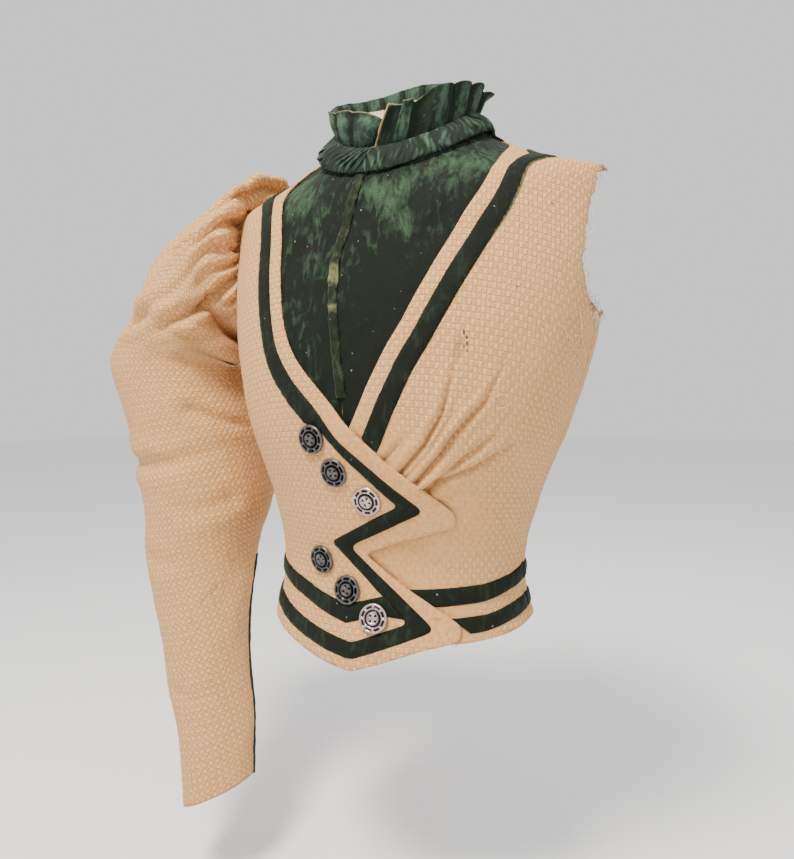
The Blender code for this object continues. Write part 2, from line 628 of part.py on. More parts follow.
def pleat_depth(places):
    """How far in the pleats of the left front sink."""
    depth = np.zeros(len(places))
    for pleat in PLEATS:
        near = smooth(1 - distance(places, pleat_line(pleat)) / PLEAT_HALF)
        reach = np.hypot(pleat.top_girth - pleat.foot_girth, pleat.top_level - pleat.foot_level)
        along = np.hypot(places[:, 0] - pleat.foot_girth, places[:, 1] - pleat.foot_level) / reach
        depth = np.maximum(depth, pleat.depth * near * smooth((1.05 - along) / 0.6))
    return depth


def band_outline(rows, side_levels, side):
    """A waist band's outline from its rows, carried on to the side seam."""
    top = [(row.girth, row.top) for row in rows]
    foot = [(row.girth, row.bottom) for row in rows]
    high, low = side_levels
    level_part = [(side * BAND_LEVEL, high), (side * BAND_PAST, high),
                  (side * BAND_PAST, low), (side * BAND_LEVEL, low)]
    if side > 0:
        return top + level_part + foot[::-1]
    return top[::-1] + level_part + foot


def neckline_band(side):
    """The two edges of the band along a neckline, from above the shoulder down."""
    edge = neckline(side)
    first = np.array(edge[0])
    step = first - np.array(edge[1])
    edge = [tuple(first + step / np.hypot(*step) * NECKLINE_RUN)] + edge
    near = set_in(edge, side * NECKLINE_MARGIN)
    far = set_in(edge, side * (NECKLINE_MARGIN + NECKLINE_BAND))
    return near, far


def lap_band_outline():
    """The right front's band: down its neckline, round the zig-zag and along the hem."""
    near, far = neckline_band(-1)
    near = near[:-LAP_JOIN] + [(row.outer_girth, row.outer_level) for row in LAP_BAND]
    far = far[:-LAP_JOIN] + [(row.inner_girth, row.inner_level) for row in LAP_BAND]
    near += [(-BAND_LEVEL, SIDE_LOWER[1]), (-BAND_PAST, SIDE_LOWER[1])]
    far += [(-BAND_LEVEL, SIDE_LOWER[0]), (-BAND_PAST, SIDE_LOWER[0])]
    return near, far


def add_band(name, pattern, places, faces, out):
    """A velvet band over some of a panel's faces, a seam's gap above its cloth."""
    inner = pattern.drape(places[:, 0], places[:, 1], out + CLOTH + SEAM)
    outer = pattern.drape(places[:, 0], places[:, 1], out + CLOTH + SEAM + BAND)
    return add_wall(name, inner, outer, faces, GREEN)


def add_panel(name, pattern, places, faces, out, thick, finish):
    inner = pattern.drape(places[:, 0], places[:, 1], out)
    outer = pattern.drape(places[:, 0], places[:, 1], out + thick)
    return add_wall(name, inner, outer, faces, finish)


def build_left_front(pattern):
    outline = front_outline(pattern, 1)
    near, far = neckline_band(1)
    upper = band_outline(LEFT_UPPER_BAND, SIDE_UPPER, 1)
    lower = band_outline(LEFT_LOWER_BAND, SIDE_LOWER, 1)
    margin = lap_margin()
    lap_line = [p for p in margin if p[1] < LAP_TOP]
    covered = margin + list(UNDER_RIGHT)
    lines = [near, far, upper, lower, lap_line] + [pleat_line(pleat) for pleat in PLEATS]
    places, faces = cut(outline, FRONT_STEP, lines)
    out = -pleat_depth(places)
    add_panel("front_left", pattern, places, faces, out, CLOTH, TAN)

    def open_part(shape):
        return chosen(places, faces, lambda p: inside(p, shape) & ~inside(p, covered))

    add_band("neckline_band_left", pattern, places, open_part(near + far[::-1]), out)
    add_band("waist_band_upper_front_left", pattern, places, open_part(upper), out)
    add_band("waist_band_lower_front_left", pattern, places, open_part(lower), out)


def build_right_front(pattern):
    outline = front_outline(pattern, -1)
    near, far = lap_band_outline()
    upper = band_outline(UPPER_BAND, SIDE_UPPER, -1)
    stop = set_in([(row.inner_girth, row.inner_level) for row in BAND_STOP], -1.5 * SEAM)
    places, faces = cut(outline, FRONT_STEP, [near, far, upper, stop])
    out = lap_rise(places, front_outline(pattern, 1))
    add_panel("front_right", pattern, places, faces, out, CLOTH, TAN)
    band = near + far[::-1]
    add_band("lap_band_right", pattern, places, chosen(places, faces, lambda p: inside(p, band)), out)
    beyond = stop + list(BEYOND_STOP)
    add_band("waist_band_upper_front_right", pattern, places,
             chosen(places, faces, lambda p: inside(p, upper) & ~inside(p, beyond)), out)


def build_side_and_back(pattern):
    for word, side in (("left", 1), ("right", -1)):
        for piece, outline in (("side", side_outline(pattern, side)), ("back", back_outline(pattern, side))):
            low = min(p[0] for p in outline) - 0.01
            high = max(p[0] for p in outline) + 0.01
            lines = [[(low, level), (high, level)] for level in SIDE_UPPER + SIDE_LOWER]
            places, faces = cut(outline, BACK_STEP, lines)
            out = np.zeros(len(places))
            add_panel(f"{piece}_{word}", pattern, places, faces, out, CLOTH, TAN)
            for height, (top, foot) in (("upper", SIDE_UPPER), ("lower", SIDE_LOWER)):
                strip = chosen(places, faces, lambda p: (p[:, 1] < top) & (p[:, 1] > foot))
                add_band(f"waist_band_{height}_{piece}_{word}", pattern, places, strip, out)


def build_plastron(pattern):
    """The velvet between the necklines, in two halves that meet at the placket."""
    placket = rounded(PLACKET_LINE)
    strip_edge = set_in(placket, PLACKET_WIDTH)
    for word, side in (("left", 1), ("right", -1)):
        edge = set_in(neckline(side), side * PLASTRON_UNDERLAP)
        edge = [p for p in edge if PLASTRON_SPAN[0] < p[1] < PLASTRON_SPAN[1]]
        shoulder = shoulder_edge(pattern, side, True, (0.0, 0.15, 0.30))
        neck = [(side * pattern.girth(0.0, radians(a))[0], NECK_EDGE) for a in (3, 12, 24)]
        middle = set_in(placket, side * SEAM / 2)
        middle = [(x, min(y, NECK_EDGE)) for x, y in middle]
        foot = [(PLASTRON_FOOT.girth + side * SEAM / 2, PLASTRON_FOOT.level)]
        outline = middle + foot + edge[::-1] + shoulder[::-1] + neck[::-1]
        lines = [strip_edge] if side > 0 else []
        places, faces = cut(outline, PLASTRON_STEP, lines)
        out = np.full(len(places), -TUCK_UNDER - VELVET)
        add_panel(f"plastron_{word}", pattern, places, faces, out, VELVET, GREEN)
        if side > 0:
            shape = [(x - PLACKET_OVER, y) for x, y in placket] + strip_edge[::-1]
            low, high = PLACKET_SPAN
            strip = chosen(places, faces, lambda p: inside(p, shape) & (p[:, 1] > low) & (p[:, 1] < high))
            out = np.full(len(places), SEAM - TUCK_UNDER)
            add_panel("plastron_placket", pattern, places, strip, out, VELVET, WORN_GREEN)


def collar_points(turn, line, out=0.0, rise=0.0):
    """Points round the collar at one of its lines, moved out and up."""
    c = np.cos(turn)
    ends = np.where(c > 0, line.lift_front, line.lift_back)
    lift = line.lift_side + (ends - line.lift_side) * c * c
    radial = np.stack([np.sin(turn), -c, 0 * c], -1)
    up = np.stack([0 * c, 0 * c, lift + rise], -1)
    return neck_point(turn) + radial * (out - line.draw_in)[..., None] + up


def between(a, b, t):
    return CollarLine(*(p + (q - p) * t for p, q in zip(a, b)))


def add_collar_wall(name, grid, turn, thick, finish):
    normal = grid_normals(grid, False)
    radial = np.stack([np.sin(turn), -np.cos(turn), 0 * turn], -1)
    if (normal * radial).sum() < 0:
        normal = -normal
    half = normal * thick / 2
    add_grid_wall(name, grid - half, grid + half, finish)


def uneven(turn, waves, phase):
    """Waves of uneven width round the collar, between 0 and 1."""
    return 0.5 + 0.5 * np.sin(waves * turn + 0.8 * np.sin(3 * turn + phase) + 0.5 * np.sin(5 * turn))


def build_collar():
    turn = np.linspace(SLIT, 2 * pi - SLIT, STAND_COLUMNS)
    lines = [between(COLLAR_FOOT, COLLAR_PINCH, t) for t in (0, 0.5, 1)]
    lines += [between(COLLAR_PINCH, STAND_TOP, t) for t in (0.5, 1)]
    grid = np.stack([collar_points(turn, line, 0 * turn) for line in lines])
    add_collar_wall("collar_stand", grid, turn, LINING, CREAM)

    clear = LINING / 2 + VELVET / 2 + 2 * SEAM
    turn = np.linspace(SLIT, 2 * pi - SLIT, FRILL_COLUMNS)
    rows = []
    for frill in (LOWER_FRILL, UPPER_FRILL):
        wave = uneven(turn, frill.waves, frill.phase)
        for t in frill.rows:
            line = between(COLLAR_PINCH, frill.line, t)
            out = clear + frill.puff * sin(pi * t) + frill.depth * t ** 0.6 * wave
            rows.append(collar_points(turn, line, out, frill.rise * t * wave))
    add_collar_wall("collar_frill", np.stack(rows), turn, VELVET, GREEN)


def armhole_ring(pattern, side, columns, gap):
    """Pattern points evenly spaced just inside an armhole, down its front and up its back."""
    share = np.linspace(0.0, 1.0, 60)
    rows = []
    for fore in (True, False):
        girth, level = armhole_point(pattern, side, share, fore)
        points = pattern.drape(girth, level, 0 * share)
        walked = np.concatenate([[0], np.cumsum(np.linalg.norm(np.diff(points, axis=0), axis=1))])
        wanted = np.linspace(0, walked[-1], columns // 2 + 1)
        rows.append(np.stack([np.interp(wanted, walked, girth), np.interp(wanted, walked, level)], -1))
    middle = np.mean(rows, axis=(0, 1))
    for k, row in enumerate(rows):
        along = np.gradient(row, axis=0)
        inward = np.stack([-along[:, 1], along[:, 0]], -1)
        inward /= np.linalg.norm(inward, axis=1)[:, None]
        if (inward * (middle - row)).sum() < 0:
            inward = -inward
        rows[k] = np.minimum(row + inward * gap, [np.inf, 0])
    return np.concatenate([rows[0][:-1], rows[1][:0:-1]])


def sleeve_ring(section, around):
    """One section of the sleeve; around runs from its outer side over its front."""
    turn = radians(section.turn)
    up = np.array([-sin(turn), 0, cos(turn)])
    c = np.cos(around)
    s = np.sin(around)
    lift = np.where(c > 0, section.outer, section.inner) * c
    depth = -np.where(s > 0, section.front, section.back) * s
    centre = np.array([section.x, section.y, section.z])
    return centre + lift[:, None] * up + depth[:, None] * np.array([0.0, 1.0, 0.0])


def sleeve_grid(pattern):
    """The middle of the sleeve's wall, as rows from the armhole to the wrist."""
    around = np.arange(SLEEVE_COLUMNS) * 2 * pi / SLEEVE_COLUMNS
    ring = armhole_ring(pattern, -1, SLEEVE_COLUMNS, CLOTH / 2 + HEAD_GAP)
    head, rise = (pattern.drape(ring[:, 0], ring[:, 1], np.full(len(ring), out)) for out in (0, HEAD_RISE))
    rings = [head, rise] + [sleeve_ring(section, around) for section in SLEEVE]
    rings = np.stack([2 * rings[0] - rings[1]] + rings + [2 * rings[-1] - rings[-2]])
    gathers = np.array([0, 0, RISE_GATHERS] + [section.gathers for section in SLEEVE] + [0])
    wave = np.cos(GATHERS * around) * (0.75 + 0.25 * np.sin(3 * around + 1))
    rows = []
    sizes = []
    for step in SLEEVE_STEPS:
        k = min(int(step), len(rings) - 4)
        t = step - k
        a, b, c, d = rings[k:k + 4]
        rows.append(blend(b, (c - a) / 2, c, (d - b) / 2, t))
        sizes.append(gathers[k + 1] * (1 - t) + gathers[k + 2] * t)
    grid = np.stack(rows)
    normal = grid_normals(grid, True)
    return grid + normal * (np.array(sizes)[:, None] * wave)[..., None]


def part_sleeve(grid, first, last):
    """The columns from one seam to the next, drawn back from each by half a gap."""
    columns = np.arange(first, last + 1) % SLEEVE_COLUMNS
    piece = grid[:, columns].copy()
    for end, near in ((0, 1), (-1, -2)):
        step = piece[:, near] - piece[:, end]
        piece[:, end] += step / np.linalg.norm(step, axis=1)[:, None] * SEAM
    return piece


def build_sleeve(pattern):
    grid = sleeve_grid(pattern)
    normal = grid_normals(grid, True)
    if (normal[:, 0] * (grid[:, 0] - grid.mean(axis=1))).sum() < 0:
        normal = -normal
    inner = grid - normal * CLOTH / 2
    outer = grid + normal * CLOTH / 2
    upper = OUTER_SEAM, INNER_SEAM + SLEEVE_COLUMNS
    add_grid_wall("sleeve_upper", part_sleeve(inner, *upper), part_sleeve(outer, *upper), TAN)
    under = INNER_SEAM, OUTER_SEAM
    add_grid_wall("sleeve_under", part_sleeve(inner, *under), part_sleeve(outer, *under), TAN)
    edge = slice(INNER_SEAM - 1, INNER_SEAM + 1)
    rows = slice(-6, None)
    low = (outer + normal * SEAM)[rows, edge]
    high = (outer + normal * (SEAM + BAND))[rows, edge]
    add_grid_wall("sleeve_edging", low, high, BLACKISH)


def build_armhole_lining(pattern):
    """What is left of the lining at the foot of the raw armhole, lifting out past its edge."""
    share = np.array(LIP_FORE + LIP_REAR)
    fore = np.arange(len(share)) < len(LIP_FORE)
    girth = np.empty(len(share))
    level = np.empty(len(share))
    girth[fore], level[fore] = armhole_point(pattern, 1, share[fore], True)
    girth[~fore], level[~fore] = armhole_point(pattern, 1, share[~fore], False)
    middle = pattern.girth(LIP_CENTRE, SIDE_SEAM)[0]
    away = np.stack([middle - girth, LIP_CENTRE - level], -1)
    away /= np.linalg.norm(away, axis=1)[:, None]
    rows = []
    for past, out in LIP:
        rows.append(pattern.drape(girth + away[:, 0] * past, level + away[:, 1] * past,
                                  np.full(len(share), out)))
    grid = np.stack(rows)
    normal = grid_normals(grid, False)
    if normal[:, :, 0].sum() < 0:
        normal = -normal
    add_grid_wall("armhole_lining_left", grid - normal * LINING / 2, grid + normal * LINING / 2, CREAM)


def build_buttons(pattern):
    """Round metal buttons: a rim, a sunk ring and a raised middle with a dimple."""
    left_outline = front_outline(pattern, 1)
    near, far = lap_band_outline()
    bands = near + far[::-1], band_outline(UPPER_BAND, SIDE_UPPER, -1)
    for number, button in enumerate(BUTTONS, 1):
        bm = bmesh.new()
        points = [bm.verts.new((x * BUTTON_RADIUS, 0, z * BUTTON_HEIGHT)) for x, z in BUTTON_PROFILE]
        edges = [bm.edges.new(pair) for pair in zip(points[:-1], points[1:])]
        bmesh.ops.spin(bm, geom=points + edges, cent=(0, 0, 0), axis=(0, 0, 1), angle=2 * pi,
                       steps=BUTTON_SIDES, use_merge=True)
        bmesh.ops.remove_doubles(bm, verts=bm.verts, dist=1e-5)
        bmesh.ops.recalc_face_normals(bm, faces=bm.faces)
        part = add_object(f"button_{number}", bm, STEEL)
        around = np.linspace(0, 2 * pi, BUTTON_SIDES, endpoint=False)
        rim = np.stack([np.cos(around), np.sin(around)], -1) * BUTTON_RADIUS
        places = np.concatenate([np.zeros((1, 2)), 0.5 * rim, rim]) + button
        on_band = inside(places, bands[0]) | inside(places, bands[1])
        out = lap_rise(places, left_outline) + CLOTH + (BAND + SEAM) * on_band
        under = pattern.drape(places[:, 0], places[:, 1], out)
        normal = pattern.outward(places[:1, 0], places[:1, 1])[0]
        lift = ((under - under[0]) @ normal).max()
        part.location = under[0] + normal * (lift + BUTTON_CLEAR)
        part.rotation_euler = Vector(normal).to_track_quat("Z", "Y").to_euler()


def build():
    for old in list(bpy.data.objects):
        bpy.data.objects.remove(old)
    pattern = Pattern()
    build_left_front(pattern)
    build_right_front(pattern)
    build_side_and_back(pattern)
    build_plastron(pattern)
    build_collar()
    build_sleeve(pattern)
    build_armhole_lining(pattern)
    build_buttons(pattern)


build()
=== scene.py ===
# A fitted bodice of the 1890s in tan check cloth and green velvet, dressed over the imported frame.
# Metres, +Z up, wearer facing -Y. Places on the cloth are (girth from centre front, level below the neck).

from math import cos, pi, radians, sin

import bmesh
import bpy
import numpy as np
from mathutils import Matrix, Vector


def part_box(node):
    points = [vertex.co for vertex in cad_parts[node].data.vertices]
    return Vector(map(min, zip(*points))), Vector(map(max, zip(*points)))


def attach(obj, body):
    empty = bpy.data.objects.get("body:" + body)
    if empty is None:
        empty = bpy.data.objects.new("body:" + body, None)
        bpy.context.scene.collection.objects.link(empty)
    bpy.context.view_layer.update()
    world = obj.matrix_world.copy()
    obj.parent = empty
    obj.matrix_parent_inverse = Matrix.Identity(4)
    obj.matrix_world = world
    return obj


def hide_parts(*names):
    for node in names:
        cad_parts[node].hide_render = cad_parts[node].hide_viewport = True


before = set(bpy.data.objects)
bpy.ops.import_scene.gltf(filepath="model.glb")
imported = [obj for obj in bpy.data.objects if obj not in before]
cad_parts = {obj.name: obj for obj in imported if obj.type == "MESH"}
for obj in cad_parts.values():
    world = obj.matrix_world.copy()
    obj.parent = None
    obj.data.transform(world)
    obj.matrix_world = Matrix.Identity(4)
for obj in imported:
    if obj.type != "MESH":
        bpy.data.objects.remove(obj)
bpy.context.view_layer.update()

cloth = {"thick": 0.0016, "shell": 0.0015, "step": 0.0032, "quickStep": 0.0034, "edge": 0.0011, "seam": 0.0003}
velvet = {"thick": 0.0014, "band": 0.0011, "tuckUnder": 0.0010}
lap = {"rise": 0.0032, "fade": 0.030, "plain": 0.042, "plainFade": 0.030, "corner": 0.0060}

# The filled form, one column for each section from below the hem to the shoulders
torso = {
    "level": (-0.520, -0.455, -0.405, -0.380, -0.330, -0.250, -0.190, -0.120, -0.060),
    "width": (0.1400, 0.1310, 0.1150, 0.1135, 0.1210, 0.1480, 0.1640, 0.1740, 0.1790),
    "front": (0.1120, 0.1040, 0.0910, 0.0885, 0.0980, 0.1150, 0.1120, 0.0980, 0.0810),
    "back": (0.106, 0.096, 0.074, 0.070, 0.074, 0.088, 0.095, 0.094, 0.084),
    "fullness": (2.20, 2.20, 2.10, 2.10, 2.20, 2.40, 2.40, 2.25, 1.75),
    "backRise": (0, 0, 0, 0, 0, 0, 0, 0, 0.022),
    "lean": (-0.006, -0.006, -0.006, -0.006, -0.003, 0.001, 0.003, 0.003, 0.000),
}
neckSeam = {
    "width": 0.072, "middle": 0.006, "front": (-0.068, -0.046), "side": 0.0015, "back": (0.060, -0.002),
    "tilt": -0.06,     # rise for each metre towards the wearer's left
}
neckSide = np.array([neckSeam["width"], neckSeam["middle"], neckSeam["side"]])
shoulder = {
    "tip": (0.180, 0.008, -0.056), "sag": 0.0065, "round": 0.012, "fromNeck": radians(36), "toBack": radians(142),
    "fade": 0.2,
    "rawShares": (0.935, 0.77, 0.58, 0.43, 0.31), "sewnShares": (0.46, 0.32, 0.16),
}
throat = {"facing": (0.33, -0.45, 0.83), "span": (radians(18), radians(42)), "fade": 0.12, "depth": 0.026}


def smooth(t):
    t = np.clip(t, 0.0, 1.0)
    return t * t * (3 - 2 * t)


def unit(steps):
    return steps / np.maximum(np.linalg.norm(steps, axis=-1, keepdims=True), 1e-12)


def passed(steps):
    # How much of the way is passed at each place, from the lengths of the steps
    return np.concatenate([[0], np.cumsum(steps)])


def cubic(p0, m0, p1, m1, t):
    return (p0 * (2 * t**3 - 3 * t**2 + 1) + m0 * (t**3 - 2 * t**2 + t)
            + p1 * (3 * t**2 - 2 * t**3) + m1 * (t**3 - t**2))


def neckPoint(turn):
    # Round the neck seam from centre front, 0, to centre back, pi
    c = np.cos(turn)
    fore = c > 0
    depth = np.where(fore, neckSeam["front"][0] - neckSeam["middle"], neckSeam["middle"] - neckSeam["back"][0])
    fall = np.where(fore, neckSeam["front"][1], neckSeam["back"][1]) - neckSeam["side"]
    reach = np.where(fore, np.abs(c) ** 1.25, np.abs(c))
    across = neckSeam["width"] * np.sin(turn)
    return np.stack([across, neckSeam["middle"] + depth * c,
                     neckSeam["side"] + fall * reach + neckSeam["tilt"] * across], -1)


def shoulderSlope():
    return np.array(shoulder["tip"]) - neckSide


def topRing(angle):
    # Neck seam and shoulder seams as one ring
    size = np.abs(angle)
    turn = np.where(size < pi / 2, size / shoulder["fromNeck"],
                    2 - (pi - size) / (pi - shoulder["toBack"])) * pi / 2
    side = np.where(angle < 0, -1, 1)
    ring = neckPoint(turn * side) * np.stack([side, 1 + 0 * side, 1 + 0 * side], -1)
    along = np.where(size < pi / 2, (size - shoulder["fromNeck"]) / (pi / 2 - shoulder["fromNeck"]),
                     (shoulder["toBack"] - size) / (shoulder["toBack"] - pi / 2))
    onSeam = (size > shoulder["fromNeck"]) & (size < shoulder["toBack"])
    seam = neckSide + shoulderSlope() * along[..., None]
    seam[..., 2] -= shoulder["sag"] * np.sin(pi * np.clip(along, 0, 1))
    seam[..., 2] += neckSeam["tilt"] * neckSeam["width"] * side * (1 - along)
    ring = np.where(onSeam[..., None], seam, ring)
    ring[..., 0] *= side
    return ring


def sectionRing(k, angle):
    c = np.cos(angle)
    depth = np.where(c > 0, torso["front"][k], torso["back"][k])
    power = torso["fullness"][k]
    reach = ((np.abs(np.sin(angle)) / torso["width"][k]) ** power + (np.abs(c) / depth) ** power) ** (-1 / power)
    rise = np.where(c > 0, -0.002 * (torso["backRise"][k] > 0), torso["backRise"][k]) * np.abs(c)
    return np.stack([torso["lean"][k] + reach * np.sin(angle), -reach * c, torso["level"][k] + rise], -1)


def form(angle, level):
    angle, level = np.broadcast_arrays(np.asarray(angle, float), np.asarray(level, float))
    rings = np.stack([sectionRing(k, angle) for k in range(len(torso["level"]))] + [topRing(angle)])
    heights = np.array(torso["level"] + (0.0,))
    span = np.diff(heights).reshape((-1,) + (1,) * angle.ndim + (1,))
    chords = np.diff(rings, axis=0) / span
    inner = (chords[:-1] * span[1:] + chords[1:] * span[:-1]) / (span[1:] + span[:-1])
    atShoulder = np.clip((np.abs(np.sin(angle)) - 0.35) / 0.4, 0, 1)[..., None]
    last = chords[-1] * (1 + atShoulder * np.array([0.0, 0.15, -0.65]))
    tangents = np.concatenate([chords[:1], inner, last[None]])
    step = np.clip(np.searchsorted(heights, level, side="right") - 1, 0, len(heights) - 2)
    size = (heights[step + 1] - heights[step])[..., None]
    t = ((level - heights[step]) / size[..., 0])[..., None]
    low = step[None, ..., None]
    pick = np.take_along_axis
    return cubic(pick(rings, low, 0)[0], pick(tangents, low, 0)[0] * size,
                 pick(rings, low + 1, 0)[0], pick(tangents, low + 1, 0)[0] * size, t)


class Pattern:
    # Carries places on the cut cloth onto the filled form

    def __init__(self):
        self.lowest = torso["level"][0]
        self.levels = np.linspace(self.lowest, 0, 131)
        self.angles = np.linspace(-pi - 0.1, pi + 0.1, 761)
        self.girths = np.linspace(-0.56, 0.56, 449)
        points = form(self.angles[None, :], self.levels[:, None])
        steps = np.linalg.norm(np.diff(points, axis=1), axis=-1)
        walked = np.concatenate([np.zeros((len(self.levels), 1)), np.cumsum(steps, 1)], 1)
        self.walked = walked - walked[:, [len(self.angles) // 2]]
        self.turned = np.stack([np.interp(self.girths, row, self.angles) for row in self.walked])
        column = form(self.turned, self.levels[:, None])
        rises = np.linalg.norm(np.diff(column, axis=0), axis=-1)
        self.risen = np.concatenate([np.zeros((1, len(self.girths))), np.cumsum(rises, 0)])

    def girth(self, level, angle):
        place = (np.atleast_1d(level) - self.lowest) / (self.levels[1] - self.levels[0])
        row = np.clip(place.astype(int), 0, len(self.levels) - 2)
        low = np.array([np.interp(angle, self.angles, self.walked[r]) for r in row])
        high = np.array([np.interp(angle, self.angles, self.walked[r + 1]) for r in row])
        return low + (high - low) * (place - row)

    def lookUp(self, table, girth, level):
        u = np.clip((level - self.lowest) / (self.levels[1] - self.levels[0]), 0, len(self.levels) - 1.001)
        v = np.clip((girth - self.girths[0]) / (self.girths[1] - self.girths[0]), 0, len(self.girths) - 1.001)
        i = u.astype(int)
        j = v.astype(int)
        u = u - i
        v = v - j
        return (table[i, j] * (1 - u) * (1 - v) + table[i + 1, j] * u * (1 - v)
                + table[i, j + 1] * (1 - u) * v + table[i + 1, j + 1] * u * v)

    def angle(self, girth, level):
        return np.clip(self.lookUp(self.turned, girth, level), 0.0022 - pi, pi - 0.0022)

    def grain(self, girth, level):
        # How high up the cloth a place lies, measured along the warp
        return self.lookUp(self.risen, girth, level)

    def outward(self, girth, level):
        # The way out of the cloth at a place, from its slope within a short reach
        reach = 0.002
        high = np.minimum(level + reach, 0)
        low = high - 2 * reach
        up = form(self.angle(girth, high), high) - form(self.angle(girth, low), low)
        across = form(self.angle(girth + reach, level), level) - form(self.angle(girth - reach, level), level)
        normal = unit(np.cross(across, up))
        angle = self.angle(girth, level)
        turned = np.abs(angle)
        # At the throat and along the shoulder seams the cloth keeps a set facing
        tilt = np.stack([throat["facing"][0] * np.sign(angle), throat["facing"][1] + 0 * angle,
                         throat["facing"][2] + 0 * angle], -1)
        first, last = throat["span"]
        share = smooth((turned - first) / throat["fade"]) * smooth((last - turned) / throat["fade"])
        share = (share * smooth(2 * (1 + level / throat["depth"])))[..., None]
        normal = normal * (1 - share) + tilt * share
        slope = shoulderSlope()
        ridge = unit(np.stack([np.sign(angle) * -slope[2], 0 * angle, 0 * angle + slope[0]], -1))
        onSeam = (smooth((turned - shoulder["fromNeck"]) / shoulder["fade"])
                  * smooth((shoulder["toBack"] - turned) / shoulder["fade"]))
        share = (onSeam * smooth(1 + level / shoulder["round"]))[..., None]
        return unit(normal * (1 - share) + ridge * share)

    def drape(self, girth, level, out):
        girth = np.asarray(girth, float)
        level = np.asarray(level, float)
        return form(self.angle(girth, level), level) + self.outward(girth, level) * np.asarray(out)[..., None]


pattern = Pattern()


# Drawing on the pattern

def signedDistance(places, path):
    # Distance to a line, more than 0 on its right as it runs, and the share of the line passed
    path = np.array(path, float)
    lengths = np.hypot(*np.diff(path, axis=0).T)
    walked = passed(lengths)
    best = np.full(len(places), 9.0)
    along = np.zeros(len(places))
    for k, length in enumerate(lengths):
        edge = path[k + 1] - path[k]
        away = places - path[k]
        t = np.clip(away @ edge / max(length, 1e-9) ** 2, 0, 1)
        gap = np.linalg.norm(away - t[:, None] * edge, axis=1)
        right = np.where(edge[1] * away[:, 0] - edge[0] * away[:, 1] < 0, -1, 1)
        nearer = gap < np.abs(best)
        best = np.where(nearer, gap * right, best)
        along = np.where(nearer, (walked[k] + t * length) / walked[-1], along)
    return best, along


def within(places, outline):
    hit = np.zeros(len(places), bool)
    ring = list(outline) + [outline[0]]
    for (x0, y0), (x1, y1) in zip(ring[:-1], ring[1:]):
        if y0 != y1:
            crosses = (places[:, 1] > y0) != (places[:, 1] > y1)
            hit ^= crosses & (places[:, 0] < x0 + (places[:, 1] - y0) * (x1 - x0) / (y1 - y0))
    return hit


def spaced(path, step):
    line = [tuple(path[0])]
    for a, b in zip(path[:-1], path[1:]):
        parts = max(1, round(np.hypot(b[0] - a[0], b[1] - a[1]) / step))
        line += [(a[0] + (b[0] - a[0]) * k / parts, a[1] + (b[1] - a[1]) * k / parts) for k in range(1, parts + 1)]
    return line


def rounded(path, parts=6):
    rows = [np.array(p) for p in path]
    rows = [2 * rows[0] - rows[1]] + rows + [2 * rows[-1] - rows[-2]]
    line = [tuple(rows[1])]
    for a, b, c, d in zip(rows[:-3], rows[1:-2], rows[2:-1], rows[3:]):
        line += [tuple(cubic(b, (c - a) / 2, c, (d - b) / 2, k / parts)) for k in range(1, parts + 1)]
    return line


def setIn(path, gap):
    # The path moved to its left as it runs
    line = []
    for k, here in enumerate(path):
        before = np.array(path[max(k - 1, 0)])
        after = np.array(path[min(k + 1, len(path) - 1)])
        first = unit(np.array(here) - before if k > 0 else after - here)
        second = unit(after - np.array(here)) if k < len(path) - 1 else first
        mitre = first + second
        mitre = np.array([-mitre[1], mitre[0]]) / max(mitre @ mitre, 0.3) * 2
        line.append((here[0] + mitre[0] * gap, here[1] + mitre[1] * gap))
    return line


def upright(place):
    return Vector((place[0], 0, place[1]))


def ripple(places, seed, longest, shortest, count=7):
    # Soft uneven waves over the cloth, about -1 to 1
    draw = np.random.default_rng(seed)
    wave = np.zeros(len(places))
    for _ in range(count):
        size = shortest * (longest / shortest) ** draw.random()
        turn = 2 * pi * draw.random()
        wave += np.sin(2 * pi * (places @ np.array([np.cos(turn), np.sin(turn)])) / size + 2 * pi * draw.random())
    return wave / count**0.5


# Shader nodes

class Strand:
    # A shader output that takes plain arithmetic
    def __init__(self, tree, output):
        self.tree = tree
        self.output = output

    def maths(self, operation, *values):
        return knot(self.tree, "Math", {"operation": operation}, range(3), (self,) + values)

    def __add__(self, other):
        return self.maths("ADD", other)

    def __sub__(self, other):
        return self.maths("SUBTRACT", other)

    def __rsub__(self, other):
        return self.maths("MULTIPLY", -1).maths("ADD", other)

    def __mul__(self, other):
        return self.maths("MULTIPLY", other)

    def __truediv__(self, other):
        return self.maths("DIVIDE", other)

    __radd__ = __add__
    __rmul__ = __mul__

    def ramp(self, low, high):
        # 0 below low, 1 above high, eased between
        return knot(self.tree, "MapRange", {"interpolation_type": "SMOOTHSTEP"}, range(3), (self, low, high))


def knot(tree, kind, settings, sockets, values, output=0):
    # A shader node with its settings made and its sockets fed
    node = tree.nodes.new("ShaderNode" + kind)
    for setting, value in settings.items():
        setattr(node, setting, value)
    for socket, value in zip(sockets, values):
        thread(tree, node.inputs[socket], value)
    return Strand(tree, node.outputs[output])


def thread(tree, place, value):
    if isinstance(value, Strand):
        tree.links.new(value.output, place)
    elif isinstance(value, tuple) and len(value) == 3 and len(place.default_value) == 4:
        place.default_value = (*value, 1)
    else:
        place.default_value = value


